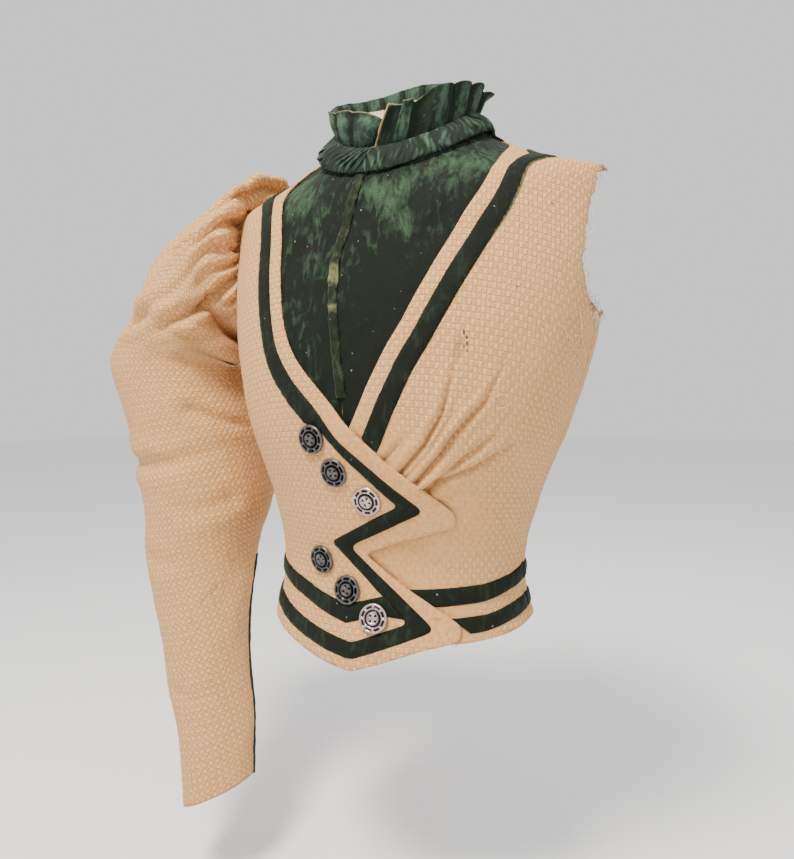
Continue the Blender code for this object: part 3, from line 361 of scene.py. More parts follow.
class Dye:
    # A finish in the making
    def __init__(self, name, colour, roughness, **settings):
        self.material = bpy.data.materials.new(name)
        self.material.use_nodes = True
        self.tree = self.material.node_tree
        self.shader = self.tree.nodes["Principled BSDF"]
        self.give("Base Color", colour)
        self.give("Roughness", roughness)
        for socket, value in settings.items():
            self.give(socket.replace("_", " "), value)

    def give(self, socket, value):
        thread(self.tree, self.shader.inputs[socket], value)

    def node(self, kind, settings=None, output=0, **values):
        sockets = [socket.replace("_", " ") for socket in values]
        return knot(self.tree, kind, settings or {}, sockets, values.values(), output)

    def mix(self, share, a, b):
        return knot(self.tree, "Mix", {"data_type": "RGBA"}, (0, 6, 7), (share, a, b), 2)

    def vector(self, operation, *values, output=0):
        return knot(self.tree, "VectorMath", {"operation": operation}, range(3), values, output)

    def awayFrom(self, uv, across, along, wide, high):
        # 0 at a place on the cut cloth, 1 at the rim of the oval round it
        away = self.vector("SUBTRACT", uv, (across, along, 0.0))
        return self.vector("LENGTH", self.vector("DIVIDE", away, (wide, high, 1.0)), output=1)

    def cloudy(self, place, size, detail=2.0, output=0, **values):
        return self.node("TexNoise", output=output, Vector=place, Scale=1 / size, Detail=detail, **values)

    def stretched(self, place, across, along, turn=0.0):
        return self.node("Mapping", Vector=place, Scale=(1 / across, 1 / along, 1.0), Rotation=(0.0, 0.0, turn))

    def relief(self, height, depth):
        self.give("Normal", self.node("Bump", Height=height, Distance=depth, Strength=1.0))

    def mark(self, name):
        # A share painted on the piece's own points
        return self.node("Attribute", {"attribute_name": name}, output=2)


tanFinish = {
    "cell": (0.0035, 0.0049), "thread": 0.00062, "wavers": ((0.012, 0.0011), (0.0022, 0.0009)),
    "light": (0.86, 0.487, 0.192), "centre": (0.90, 0.55, 0.25),
    "dark": (0.64, 0.315, 0.110), "soft": (0.74, 0.38, 0.145),
    # The darkest colour fills the moth holes and is also the painted shade
    "gap": (0.30, 0.13, 0.045), "rose": (0.70, 0.42, 0.23), "stain": (0.50, 0.30, 0.15), "holeAndShade": (0.10, 0.05, 0.03),
}
# Moth holes and worn spots: girth, level, half width, half height, how dark
wornSpots = (
    (0.0935, -0.1890, 0.0010, 0.0022, 0.95), (0.0958, -0.1925, 0.0011, 0.0018, 0.90),
    (0.0962, -0.1970, 0.0010, 0.0024, 0.95), (0.0940, -0.1990, 0.0008, 0.0014, 0.80),
    (0.0965, -0.2025, 0.0008, 0.0018, 0.70), (0.0900, -0.1990, 0.0040, 0.0110, 0.30),
    (0.1550, -0.0940, 0.0014, 0.0009, 0.85), (0.1590, -0.0930, 0.0008, 0.0008, 0.70),
    (0.1150, -0.1100, 0.0009, 0.0008, 0.80), (0.1040, -0.0940, 0.0008, 0.0008, 0.60),
    (0.1130, -0.1120, 0.0007, 0.0010, 0.60), (0.1300, -0.1560, 0.0009, 0.0009, 0.75),
    (-0.0320, -0.3430, 0.0040, 0.0004, 0.35), (0.0700, -0.4120, 0.0040, 0.0016, 0.40),
)


def dyeTan(name, turn=0.0, cell=None, contrast=1.0, spots=()):
    across, along = cell or tanFinish["cell"]
    dye = Dye(name, tanFinish["light"], 0.9, Specular_IOR_Level=0.2, Sheen_Weight=0.08, Sheen_Roughness=0.5)
    uv = dye.node("UVMap", {"uv_map": "cloth"})
    place = uv
    for size, reach in tanFinish["wavers"]:
        waver = dye.vector("SUBTRACT", dye.cloudy(uv, size, output=1), (0.5, 0.5, 0.5))
        place = dye.vector("MULTIPLY_ADD", waver, (reach, reach, 0.0), place)
    place = dye.stretched(place, across, along, turn)
    u = dye.node("SeparateXYZ", Vector=place)
    v = dye.node("SeparateXYZ", output=1, Vector=place)
    inU = (u.maths("FRACT") - 0.5).maths("ABSOLUTE")     # 0 mid-cell, 0.5 at its edge
    inV = (v.maths("FRACT") - 0.5).maths("ABSOLUTE")
    odd = ((u.maths("FLOOR") + v.maths("FLOOR")) / 2).maths("FRACT").maths("GREATER_THAN", 0.25)
    edge = inU.maths("MAXIMUM", inV)
    plump = 1 - edge.ramp(0.24, 0.5)
    fleck = dye.cloudy(uv, 0.0016, 3.0)
    cellTone = dye.cloudy(dye.stretched(uv, across * 0.9, along * 0.9, turn), 1.0, 0.0)
    ring = (1 - (edge - 0.26).maths("ABSOLUTE").ramp(0.03, 0.12)) * 0.55 + fleck.ramp(0.35, 0.7) * 0.3
    light = dye.mix(ring, tanFinish["light"], tanFinish["centre"])
    dark = dye.mix(cellTone.ramp(0.3, 0.7), tanFinish["dark"], tanFinish["soft"])
    bold = contrast * (1 - 0.8 * dye.mark("plain"))
    colour = dye.mix(odd * 0.95 * bold + 0.05, dark, light)
    stroke = odd * (1 - inU.ramp(0.02, 0.10)) * (1 - inV.ramp(0.18, 0.34))
    gap = edge.ramp(0.36, 0.50) * (0.15 + 0.5 * fleck.ramp(0.3, 0.7)) * (0.4 + 0.6 * odd) + stroke * 0.35
    colour = dye.mix(gap * bold, colour, tanFinish["gap"])
    colour = dye.mix(fleck.ramp(0.42, 0.75) * 0.30, colour, tanFinish["gap"])
    colour = dye.mix(dye.cloudy(uv, 0.055, 3.0).ramp(0.45, 0.8) * 0.25, colour, tanFinish["rose"])
    colour = dye.mix(dye.cloudy(uv, 0.016, 4.0).ramp(0.62, 0.85) * 0.25, colour, tanFinish["stain"])
    for girth, level, wide, high, deep in spots:
        away = dye.awayFrom(uv, girth, float(pattern.grain(girth, level)), wide, high) + (fleck - 0.5) * 1.4
        colour = dye.mix((1 - away.ramp(0.55, 1.15)) * deep, colour, tanFinish["holeAndShade"])
    # Painted shade in the creases and along the edge of the lap
    colour = dye.mix(dye.mark("soil"), colour, tanFinish["holeAndShade"])
    dye.give("Base Color", colour)
    weft = (u * (across / tanFinish["thread"])).maths("FRACT") - 0.5
    warp = (v * (along / tanFinish["thread"])).maths("FRACT") - 0.5
    weave = 1 - (weft * weft + warp * warp) * 2
    dye.relief(plump * (0.40 + 0.60 * odd) * bold + weave * 0.20 + fleck * 0.35, 0.0010)
    return dye.material


def toned(colour, by):
    return tuple(by * c for c in colour)


def dyeVelvet(name, base, high, worn, crush=1.0):
    dye = Dye(name, base, 0.85, Specular_IOR_Level=0.2, Sheen_Weight=0.18, Sheen_Roughness=0.3)
    dye.give("Sheen Tint", (0.40, 0.58, 0.42))
    uv = dye.node("UVMap", {"uv_map": "cloth"})
    swept = dye.cloudy(dye.stretched(uv, 0.0080, 0.022, 0.45), 1.0, 2.5, Distortion=1.2)
    patch = dye.cloudy(uv, 0.030, 4.0, Distortion=0.8)
    dab = dye.cloudy(dye.stretched(uv, 0.0040, 0.0080, -0.5), 1.0, 3.0, Distortion=1.0)
    fine = dye.cloudy(uv, 0.0010, 2.0)
    pileAndHighlight = dye.mark("pileAndHighlight")
    # The marked tone: brushed and laid pile on the plastron, painted highlight and shade over the collar's folds
    laid = swept * 0.42 + patch * 0.33 + dab * 0.25 + pileAndHighlight * 0.16
    colour = dye.mix(laid.ramp(0.49, 0.66) * crush, base, high)
    colour = dye.mix((laid - 0.10 * fine).ramp(0.56, 0.70) * crush, colour, toned(high, 1.6))
    colour = dye.mix(fine.ramp(0.45, 0.7) * 0.40, colour, toned(base, 0.5))
    rub = (dye.mark("wear") * (0.35 + 0.9 * dye.cloudy(uv, 0.0035, 4.0))).ramp(0.28, 0.70)
    colour = dye.mix(rub, colour, worn)
    lint = dye.cloudy(uv, 0.0034, 0.0).ramp(0.845, 0.86)
    colour = dye.mix(lint * 0.35, colour, (0.46, 0.48, 0.40))
    dye.give("Base Color", colour)
    dye.relief(swept * 0.9 + patch * 0.6 + dab * 0.4 + fine * 0.2, 0.0014)
    return dye.material


def dyeLining(name, colour, shade):
    dye = Dye(name, colour, 0.85, Specular_IOR_Level=0.25)
    uv = dye.node("UVMap", {"uv_map": "cloth"})
    ribs = dye.node("SeparateXYZ", Vector=dye.stretched(uv, 0.0007, 0.0007, 0.8))
    twill = (ribs.maths("FRACT") - 0.5).maths("ABSOLUTE")
    tone = dye.mix(dye.cloudy(uv, 0.02, 4.0).ramp(0.4, 0.75) * 0.6, colour, shade)
    dye.give("Base Color", tone)
    dye.relief(twill * 0.5 + dye.cloudy(uv, 0.003, 3.0) * 0.5, 0.0003)
    return dye.material


def dyeMetal(name, colour, roughness, grimeAndShade):
    dye = Dye(name, colour, roughness, Metallic=1.0)
    uv = dye.node("UVMap", {"uv_map": "cloth"})
    spots = dye.cloudy(uv, 0.0011, 4.0)
    smear = dye.cloudy(uv, 0.004, 3.0)
    tone = dye.mix(smear.ramp(0.4, 0.7) * 0.5, colour, grimeAndShade)
    # Where marked, grime and painted shade darken the grooves and holes
    dye.give("Base Color", dye.mix(dye.mark("grimeAndShade"), tone, toned(grimeAndShade, 0.15)))
    dye.give("Roughness", roughness + 0.3 * spots.ramp(0.4, 0.7))
    dye.relief(spots, 0.00008)
    return dye.material


tanBody = dyeTan("tan check cloth", spots=wornSpots)
tanSleeve = dyeTan("tan check cloth, on the bias", turn=radians(40), cell=(0.0044, 0.0046), contrast=1.25)
greenVelvet = dyeVelvet("dark green velvet", (0.0045, 0.0075, 0.0035), (0.027, 0.054, 0.027), (0.20, 0.19, 0.085))
bandVelvet = dyeVelvet("velvet of the bands", (0.005, 0.008, 0.004), (0.024, 0.042, 0.022),
                       (0.24, 0.22, 0.10), crush=0.5)
frillVelvet = dyeVelvet("green velvet of the collar", (0.009, 0.017, 0.010), (0.045, 0.084, 0.054),
                        (0.34, 0.26, 0.12), crush=0.75)
rubbedVelvet = dyeVelvet("rubbed velvet of the placket", (0.009, 0.013, 0.006), (0.040, 0.052, 0.022),
                         (0.17, 0.18, 0.075))
creamLining = dyeLining("cream lining", (0.74, 0.64, 0.48), (0.52, 0.38, 0.23))
blackEdging = dyeLining("dark edging", (0.012, 0.020, 0.016), (0.05, 0.045, 0.03))
rawLining = dyeLining("frayed lining", (0.74, 0.56, 0.37), (0.45, 0.30, 0.16))
frayThread = dyeLining("tan thread", (0.80, 0.62, 0.42), (0.62, 0.42, 0.26))
gunMetal = dyeMetal("gunmetal", (0.15, 0.14, 0.14), 0.33, (0.04, 0.035, 0.03))
brightMetal = dyeMetal("bright metal", (0.60, 0.52, 0.49), 0.26, (0.22, 0.13, 0.11))
print("finishes mixed:", len(bpy.data.materials))


# Making pieces

def cutCloth(outline, step, border=None, creases=()):
    # A flat piece in girth and level: its outline, a narrow border, and a grid to bend along
    area = sum(a[0] * b[1] - b[0] * a[1] for a, b in zip(outline, outline[1:] + outline[:1]))
    outline = outline if area > 0 else outline[::-1]
    mesh = bmesh.new()
    edge = spaced(outline + outline[:1], step)[:-1]
    face = mesh.faces.new([mesh.verts.new((x, 0, z)) for x, z in edge])
    bmesh.ops.inset_region(mesh, faces=[face], thickness=border or cloth["edge"], use_even_offset=True)
    low = np.min(edge, axis=0)
    high = np.max(edge, axis=0)
    for axis in (0, 1):
        facing = upright((axis == 0, axis == 1))
        for place in np.arange(low[axis] + step / 2, high[axis], step):
            cutAcross(mesh, mesh.faces[:], facing * place, facing)
    for line in creases:
        creaseCloth(mesh, line)
    return mesh


def cutAcross(mesh, faces, place, facing, clear=False):
    parts = dict.fromkeys(faces)     # keeps its order, so that each run cuts alike
    for face in faces:
        parts.update(dict.fromkeys((*face.edges, *face.verts)))
    bmesh.ops.bisect_plane(mesh, geom=list(parts), dist=1e-5, plane_co=place, plane_no=facing, clear_outer=clear)


creasing = {"reach": 0.009, "cuts": (-0.0062, -0.0042, -0.0026, -0.0012, 0.0, 0.0012, 0.0026, 0.0044)}


def creaseCloth(mesh, line):
    # Extra cuts beside a tuck, so that it can be folded sharply
    for a, b in zip(line[:-1], line[1:]):
        a = upright(a)
        run = upright(b) - a
        side = Vector((run.z, 0, -run.x)).normalized()
        near = []
        for face in mesh.faces:
            away = face.calc_center_median() - a
            t = away.dot(run) / run.length_squared
            if -0.02 < t < 1.02 and abs(away.dot(side)) < creasing["reach"]:
                near.append(face)
        for offset in creasing["cuts"]:
            near = [face for face in near if face.is_valid]
            before = set(mesh.faces)
            cutAcross(mesh, near, a + side * offset, side)
            near += [face for face in mesh.faces if face not in before]


def snip(mesh, a, b):
    # Takes off what lies to the right of the line from a to b
    facing = upright((b[1] - a[1], a[0] - b[0])).normalized()
    cutAcross(mesh, mesh.faces[:], upright(a), facing, clear=True)


def placesOf(mesh):
    mesh.verts.index_update()
    return np.array([(v.co.x, v.co.z) for v in mesh.verts])


def paint(mesh, name, shares):
    layer = mesh.verts.layers.float.new(name)
    for vertex, share in zip(mesh.verts, shares):
        vertex[layer] = float(share)


def layGrain(mesh, across, along):
    mesh.verts.index_update()
    layer = mesh.loops.layers.uv.new("cloth")
    for face in mesh.faces:
        for loop in face.loops:
            loop[layer].uv = (across[loop.vert.index], along[loop.vert.index])


def setPlaces(mesh, points):
    for vertex, point in zip(mesh.verts, points):
        vertex.co = point


def addPiece(name, mesh, finishes, nodes, slot, thick=None, flat=None, restsOn=(), held="draped"):
    data = bpy.data.meshes.new(name)
    mesh.to_mesh(data)
    mesh.free()
    data.shade_smooth()
    for finish in finishes:
        data.materials.append(finish)
    piece = bpy.data.objects.new(name, data)
    bpy.context.collection.objects.link(piece)
    if thick:
        shell = piece.modifiers.new("cloth thickness", "SOLIDIFY")
        shell.thickness = thick
        shell.offset = -1
        shell.material_offset = min(len(finishes) - 1, 1)
        shell.material_offset_rim = 0
    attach(piece, "root")
    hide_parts(*nodes)


def edgeDistance(places, outline):
    away, _ = signedDistance(places, list(outline) + [outline[0]])
    return np.abs(away)


def drapePiece(name, mesh, outline, out, finishes, nodes, slot, thick, flat, rounding=0.0006, roundOver=0.0014,
               **rest):
    # Bends a cut piece over the form, its edges rolled in a little
    places = placesOf(mesh)
    rolled = rounding * (1 - np.clip(edgeDistance(places, outline) / roundOver, 0, 1)) ** 2
    setPlaces(mesh, pattern.drape(places[:, 0], places[:, 1], out(places) - rolled))
    layGrain(mesh, places[:, 0], pattern.grain(places[:, 0], places[:, 1]))
    addPiece(name, mesh, finishes, nodes, slot, thick=thick, flat=flat, **rest)


# Edges of the cut pieces

cutEdges = {
    "leftNeckline": (
        (0.153, 0.000), (0.143, -0.012), (0.119, -0.033), (0.108, -0.052), (0.102, -0.076), (0.086, -0.102),
        (0.066, -0.138), (0.046, -0.177), (0.030, -0.206), (0.006, -0.258), (-0.012, -0.288)),
    "rightNeckline": (
        (-0.143, 0.000), (-0.112, -0.030), (-0.090, -0.058), (-0.080, -0.090), (-0.078, -0.118),
        (-0.072, -0.149), (-0.065, -0.174), (-0.055, -0.195), (-0.040, -0.213), (-0.018, -0.234), (0.002, -0.254)),
    "zigzag": (
        (0.002, -0.254), (0.035, -0.284), (0.064, -0.307), (0.085, -0.325), (0.085, -0.336), (0.040, -0.349),
        (0.012, -0.361), (0.043, -0.386), (0.067, -0.402), (0.091, -0.419), (0.090, -0.430)),
    "rightHem": (
        (0.090, -0.430), (0.063, -0.435), (0.004, -0.456), (-0.030, -0.450), (-0.062, -0.442),
        (-0.095, -0.434), (-0.130, -0.428)),
    "leftHem": ((-0.020, -0.300), (-0.020, -0.434), (0.060, -0.431), (0.093, -0.431), (0.131, -0.429)),
    "placket": (
        (-0.004, 0.000), (-0.007, -0.060), (-0.013, -0.096), (-0.020, -0.123), (-0.020, -0.151),
        (-0.015, -0.183), (-0.009, -0.215), (-0.004, -0.238)),
    "plastronFoot": (0.001, -0.268), "side": -0.426, "back": -0.428, "neck": -0.0005,
}
armholes = {
    # Half widths and the powers that shape them, for the raw left armhole and the sewn right one
    "depth": 0.180, "start": 0.02, "steps": 56, "crowding": 1.3, "backSeamTop": 0.62, "ragged": 0.0011,
    "rawTop": (0.0070, 1), "rawForeTop": (0.0020, 1), "rawFore": (0.039, 2.3), "rawRear": (0.092, 1.1),
    "sewnTop": (0.055, 3), "sewnFore": (0.047, 2.3), "sewnRear": (0.060, 2.0),
    "backSeam": ((-0.200, 0.127), (-0.260, 0.092), (-0.330, 0.058), (-0.385, 0.042), (-0.428, 0.052)),
}


def shoulderEdge(side, fore, shares):
    neck = shoulder["fromNeck"] if fore else shoulder["toBack"]
    angles = (neck + (pi / 2 - neck) * np.array(shares)) * side
    apart = np.abs(form(angles, 0 * angles) - form(angles, 0 * angles - 0.004))[:, 1] / 0.004
    levels = -cloth["seam"] / 2 / np.clip(apart, 0.06, 2)
    return [(pattern.girth(level, angle)[0], level) for level, angle in zip(levels, angles)]


def armholePoint(side, share, fore):
    depth = np.sin(np.asarray(share) * pi / 2)
    level = -armholes["depth"] * depth
    word = "raw" if side > 0 else "sewn"
    width, power = armholes[word + ("Fore" if fore else "Rear")]
    top, fall = armholes["rawForeTop" if side > 0 and fore else word + "Top"]
    half = width * np.abs(np.sin(pi * np.minimum(depth, 1) ** power)) ** 0.8 + top * (1 - depth) ** fall
    return pattern.girth(level, side * pi / 2) - side * half * (1 if fore else -1), level


def shoulderShares(side):
    return shoulder["rawShares" if side > 0 else "sewnShares"]


def armholeEdge(side, foot, fore):
    passedShare = np.linspace(0, 1, armholes["steps"]) ** armholes["crowding"]
    share = armholes["start"] + (foot - armholes["start"]) * passedShare
    girth, level = armholePoint(side, share, fore)
    if side > 0:
        k = np.arange(len(share))
        torn = np.sin(2.4 * k + 2 * fore) + 0.7 * np.sin(5.1 * k) + 0.6 * np.sin(0.7 * k)
        girth = girth + armholes["ragged"] * torn * smooth(k / 4) * smooth((k[-1] - k) / 4)
    return list(zip(girth, level))


def sideSeam(side, shift):
    levels = np.linspace(-armholes["depth"], cutEdges["side"], 30)
    return list(zip(pattern.girth(levels, side * pi / 2) + shift, levels))[::-1]


def backSeamLine(side, shift):
    girth, level = armholePoint(side, np.array([armholes["backSeamTop"]]), False)
    line = [(girth[0] + shift, level[0])]
    for level, fromMiddle in armholes["backSeam"]:
        line.append((side * (pattern.girth(level, pi)[0] - fromMiddle) + shift, level))
    return line


def eased(line, reach):
    # The same line with its corners turned round
    out = [line[0]]
    for a, b, c in zip(line[:-2], line[1:-1], line[2:]):
        a, b, c = np.array(a), np.array(b), np.array(c)
        near, far = (b + (end - b) * min(0.5, reach / np.hypot(*(end - b))) for end in (a, c))
        out += [tuple(near * (1 - t) ** 2 + 2 * b * t * (1 - t) + far * t * t) for t in (0, 0.25, 0.5, 0.75, 1)]
    return out + [line[-1]]


def frontOutline(side):
    armhole = armholeEdge(side, 1.0, True)[-2::-1]
    if side > 0:
        front = rounded(cutEdges["leftNeckline"])[1:] + list(cutEdges["leftHem"])
    else:
        hem = list(cutEdges["zigzag"]) + list(cutEdges["rightHem"][1:])
        front = rounded(cutEdges["rightNeckline"])[1:] + eased(hem, lap["corner"])[1:]
    return (front + sideSeam(side, -side * cloth["seam"] / 2) + armhole
            + shoulderEdge(side, True, shoulderShares(side)))


def sideOutline(side):
    girth, level = armholePoint(side, np.linspace(1.0, armholes["backSeamTop"], 16)[1:-1], False)
    return (sideSeam(side, side * cloth["seam"] / 2) + list(zip(girth, level))
            + backSeamLine(side, -side * cloth["seam"] / 2))


def neckEdge(side, degrees):
    return [(side * pattern.girth(0.0, radians(a))[0], cutEdges["neck"]) for a in degrees]


def backOutline(side):
    levels = np.linspace(cutEdges["back"], cutEdges["neck"], 60)
    middle = list(zip(side * pattern.girth(levels, pi) - side * cloth["seam"] / 2, levels))
    neck = neckEdge(side, (167, 155))
    return (armholeEdge(side, armholes["backSeamTop"], False)[:-1] + backSeamLine(side, side * cloth["seam"] / 2)
            + middle + neck + shoulderEdge(side, False, shoulderShares(side))[::-1])


def neckline(side):
    return rounded(cutEdges["leftNeckline" if side > 0 else "rightNeckline"])


leftFrontOutline = frontOutline(1)
rightFrontOutline = frontOutline(-1)


def lapRise(places):
    # The right front rides out where it lies on the left one
    away = np.where(within(places, leftFrontOutline), 0, edgeDistance(places, leftFrontOutline))
    return lap["rise"] * smooth(1 - away / lap["fade"])


# The fronts, with the stitched tucks of the left one

tucks = {
    "lines": (
        ((0.030, -0.287), (0.040, -0.277), (0.056, -0.260)),
        ((0.044, -0.295), (0.066, -0.271), (0.080, -0.247), (0.086, -0.223), (0.090, -0.201), (0.094, -0.188)),
        ((0.048, -0.299), (0.070, -0.276), (0.086, -0.250), (0.097, -0.212)),
        ((0.057, -0.301), (0.078, -0.278), (0.088, -0.264), (0.111, -0.239), (0.124, -0.213), (0.128, -0.193)),
        ((0.062, -0.307), (0.084, -0.290), (0.098, -0.279), (0.120, -0.263), (0.133, -0.246)),
        ((0.065, -0.309), (0.074, -0.300), (0.102, -0.289), (0.134, -0.271), (0.156, -0.261)),
    ),
    "depth": (0.0018, 0.0042, 0.0018, 0.0042, 0.0032, 0.0034),
    # The last entry sets how dark the painted shade in each crease is, for its depth
    "trough": 0.0019, "ridge": (0.0052, 0.0036), "swell": (0.0060, 0.0038), "soil": 125,
}


def tuckRelief(places):
    out = np.zeros(len(places))
    for line, depth in zip(tucks["lines"], tucks["depth"]):
        away, along = signedDistance(places, line)
        fade = smooth((1.0 - along) / 0.60)
        trough = -np.exp(-(away / tucks["trough"]) ** 2)
        ridge = 0.60 * np.exp(-((away + tucks["ridge"][0]) / tucks["ridge"][1]) ** 2)
        swell = 0.30 * np.exp(-((away - tucks["swell"][0]) / tucks["swell"][1]) ** 2)
        out += depth * fade * (trough + ridge + swell)
    return out


def laidOut(places, seed, size, longest):
    # Flat cloth, never quite smooth
    return (cloth["thick"] + size * ripple(places, seed, longest, 0.03)
            + 0.00010 * ripple(places, seed + 1, 0.016, 0.008))


def leftOut(places):
    return laidOut(places, 4, 0.00035, 0.09) + tuckRelief(places)


def rightOut(places):
    return laidOut(places, 6, 0.00030, 0.09) + lapRise(places)


def plainOut(places):
    return laidOut(places, 8, 0.00035, 0.10)


panels = {
    "leftFront": {"flat": (0.27, 0.45), "area": 0.070},
    "rightFront": {"flat": (0.29, 0.47), "area": 0.0775},
    "side": {"flat": (0.15, 0.28), "area": 0.0265},
    "back": {"flat": (0.18, 0.45), "area": 0.049},
    "yoke": (133, -0.016),     # the backs are velvet from here to the neck: degrees round, level
}


def paintFront(mesh, tucked=True):
    # The check fades out near the lap, where the cloth is pulled and lined; painted shade darkens the creases of the
    # tucks and the left front along the edge of the lap
    places = placesOf(mesh)
    away = np.abs(signedDistance(places, cutEdges["zigzag"])[0])
    paint(mesh, "plain", smooth((lap["plain"] - away) / lap["plainFade"]))
    soil = np.zeros(len(places))
    if tucked:
        under = within(places, leftFrontOutline) & ~within(places, rightFrontOutline)
        # Painted shade on the left front along the edge of the lap
        soil += np.where(under, 0.55 * np.exp(-edgeDistance(places, rightFrontOutline) / 0.0013), 0)
        # Painted shade in the creases of the tucks
        for line, depth in zip(tucks["lines"], tucks["depth"]):
            away, along = signedDistance(places, line)
            soil += tucks["soil"] * depth * smooth((0.95 - along) / 0.8) * np.exp(-(away / 0.0011) ** 2)
    paint(mesh, "soil", np.clip(soil, 0, 0.6))


def makeFronts():
    step = cloth["step"]
    mesh = cutCloth(leftFrontOutline, step, creases=tucks["lines"] + (cutEdges["zigzag"],))
    paintFront(mesh)
    drapePiece("leftFront", mesh, leftFrontOutline, leftOut, [tanBody, creamLining], ["front_left"], "tan_cloth",
               cloth["shell"], panels["leftFront"])
    mesh = cutCloth(rightFrontOutline, step)
    paintFront(mesh, tucked=False)
    drapePiece("rightFront", mesh, rightFrontOutline, rightOut, [tanBody, creamLining], ["front_right"], "tan_cloth",
               cloth["shell"], panels["rightFront"], restsOn=["leftFront"])


def makeSidesAndBacks():
    yoke = pattern.girth(0.0, radians(panels["yoke"][0]))[0]
    for word, side in (("left", 1), ("right", -1)):
        for kind, outline in (("side", sideOutline(side)), ("back", backOutline(side))):
            mesh = cutCloth(outline, cloth["step"] * 1.25)
            for face in mesh.faces:
                girth, _, level = face.calc_center_median()
                if kind == "back" and level > panels["yoke"][1] and abs(girth) > yoke:
                    face.material_index = 2
            drapePiece(kind + word.capitalize(), mesh, outline, plainOut,
                       [tanBody, creamLining, greenVelvet, greenVelvet], [f"{kind}_{word}"], "tan_cloth",
                       cloth["shell"], panels[kind])


makeFronts()
makeSidesAndBacks()
print("tan panels draped")


# Velvet bands

bands = {
    "margin": 0.0128, "width": 0.0160, "step": 0.0028, "border": 0.0009, "shell": 0.0009, "dome": 0.0008,
    "atSeam": 0.0004, "outerCorner": 0.0075, "innerCorner": 0.0045,
    "lapOuter": ((-0.008, -0.264), (0.062, -0.323), (-0.001, -0.355), (0.070, -0.421), (0.004, -0.447),
                 (-0.045, -0.437), (-0.095, -0.425)),
    "lapInner": ((-0.021, -0.2615), (0.042, -0.319), (-0.018, -0.352), (0.048, -0.416), (0.004, -0.434),
                 (-0.045, -0.424), (-0.095, -0.412)),
    "rightUpper": ((-0.100, -0.382, -0.3965), (-0.058, -0.391, -0.4055), (-0.003, -0.4045, -0.4200),
                   (0.0269, -0.3955, -0.4110), (0.045, -0.3885, -0.4130)),
    "leftUpper": ((0.044, -0.3895, -0.4040), (0.108, -0.387, -0.4015), (0.136, -0.383, -0.3970)),
    "leftLower": ((0.070, -0.4125, -0.4250), (0.112, -0.4115, -0.4240), (0.136, -0.408, -0.4205)),
    "sideUpper": (-0.378, -0.3925), "sideLower": (-0.4045, -0.4170),
    "topSnip": ((1.0, -0.0003), (-1.0, -0.0003)), "crossing": ((0.0023, -0.2536), (0.0353, -0.2836)),
    "underLap": ((0.0476, -0.4156), (-0.0184, -0.3516)),
    "leftFlat": {"flat": (0.345, 0.018), "area": 0.0055}, "lapFlat": {"flat": (0.73, 0.018), "area": 0.0118},
    "frontLeftFlat": {"flat": (0.12, 0.016), "area": 0.0014},
    "frontRightFlat": {"flat": (0.22, 0.016), "area": 0.0031},
    "sideFlat": {"flat": (0.11, 0.015), "area": 0.0015}, "backFlat": {"flat": (0.05, 0.015), "area": 0.00065},
}


def necklineBand(side):
    edge = neckline(side)
    first = np.array(edge[0])
    edge = [tuple(first + unit(first - np.array(edge[1])) * 0.03)] + edge
    return setIn(edge, side * bands["margin"]), setIn(edge, side * (bands["margin"] + bands["width"]))


def layBand(name, outline, clothOut, nodes, flat, snips=(), restsOn=(), worn=0.25, wornEdge=None):
    # A strip of velvet on the cloth, plump in the middle and turned in at its edges
    mesh = cutCloth(outline, bands["step"], border=bands["border"])
    for a, b in snips:
        snip(mesh, a, b)
    places = placesOf(mesh)
    wear = worn * np.exp(-edgeDistance(places, outline) / 0.0011)
    if wornEdge:
        away, along = signedDistance(places, wornEdge)
        wear += (0.15 + 0.65 * np.exp(-((along - 0.30) / 0.12) ** 2)) * np.exp(-np.abs(away) / 0.0022)
    paint(mesh, "wear", wear)

    def out(spots):
        full = smooth(edgeDistance(spots, outline) / 0.0030)
        return (clothOut(spots) + cloth["seam"] + velvet["band"] + bands["dome"] * (full - 0.6)
                + 0.00018 * ripple(spots, 12, 0.02, 0.007))

    drapePiece(name, mesh, outline, out, [bandVelvet], nodes, "green_velvet", bands["shell"], flat, restsOn=restsOn)


def sideEnds(word, side, shift):
    # Where a waist band meets the side seam, at its upper and its lower edge
    return [(pattern.girth(level, side * pi / 2)[0] + shift, level) for level in bands["side" + word]]


def bandEdges(name):
    return [(girth, top) for girth, top, _ in bands[name]], [(girth, foot) for girth, _, foot in bands[name]]


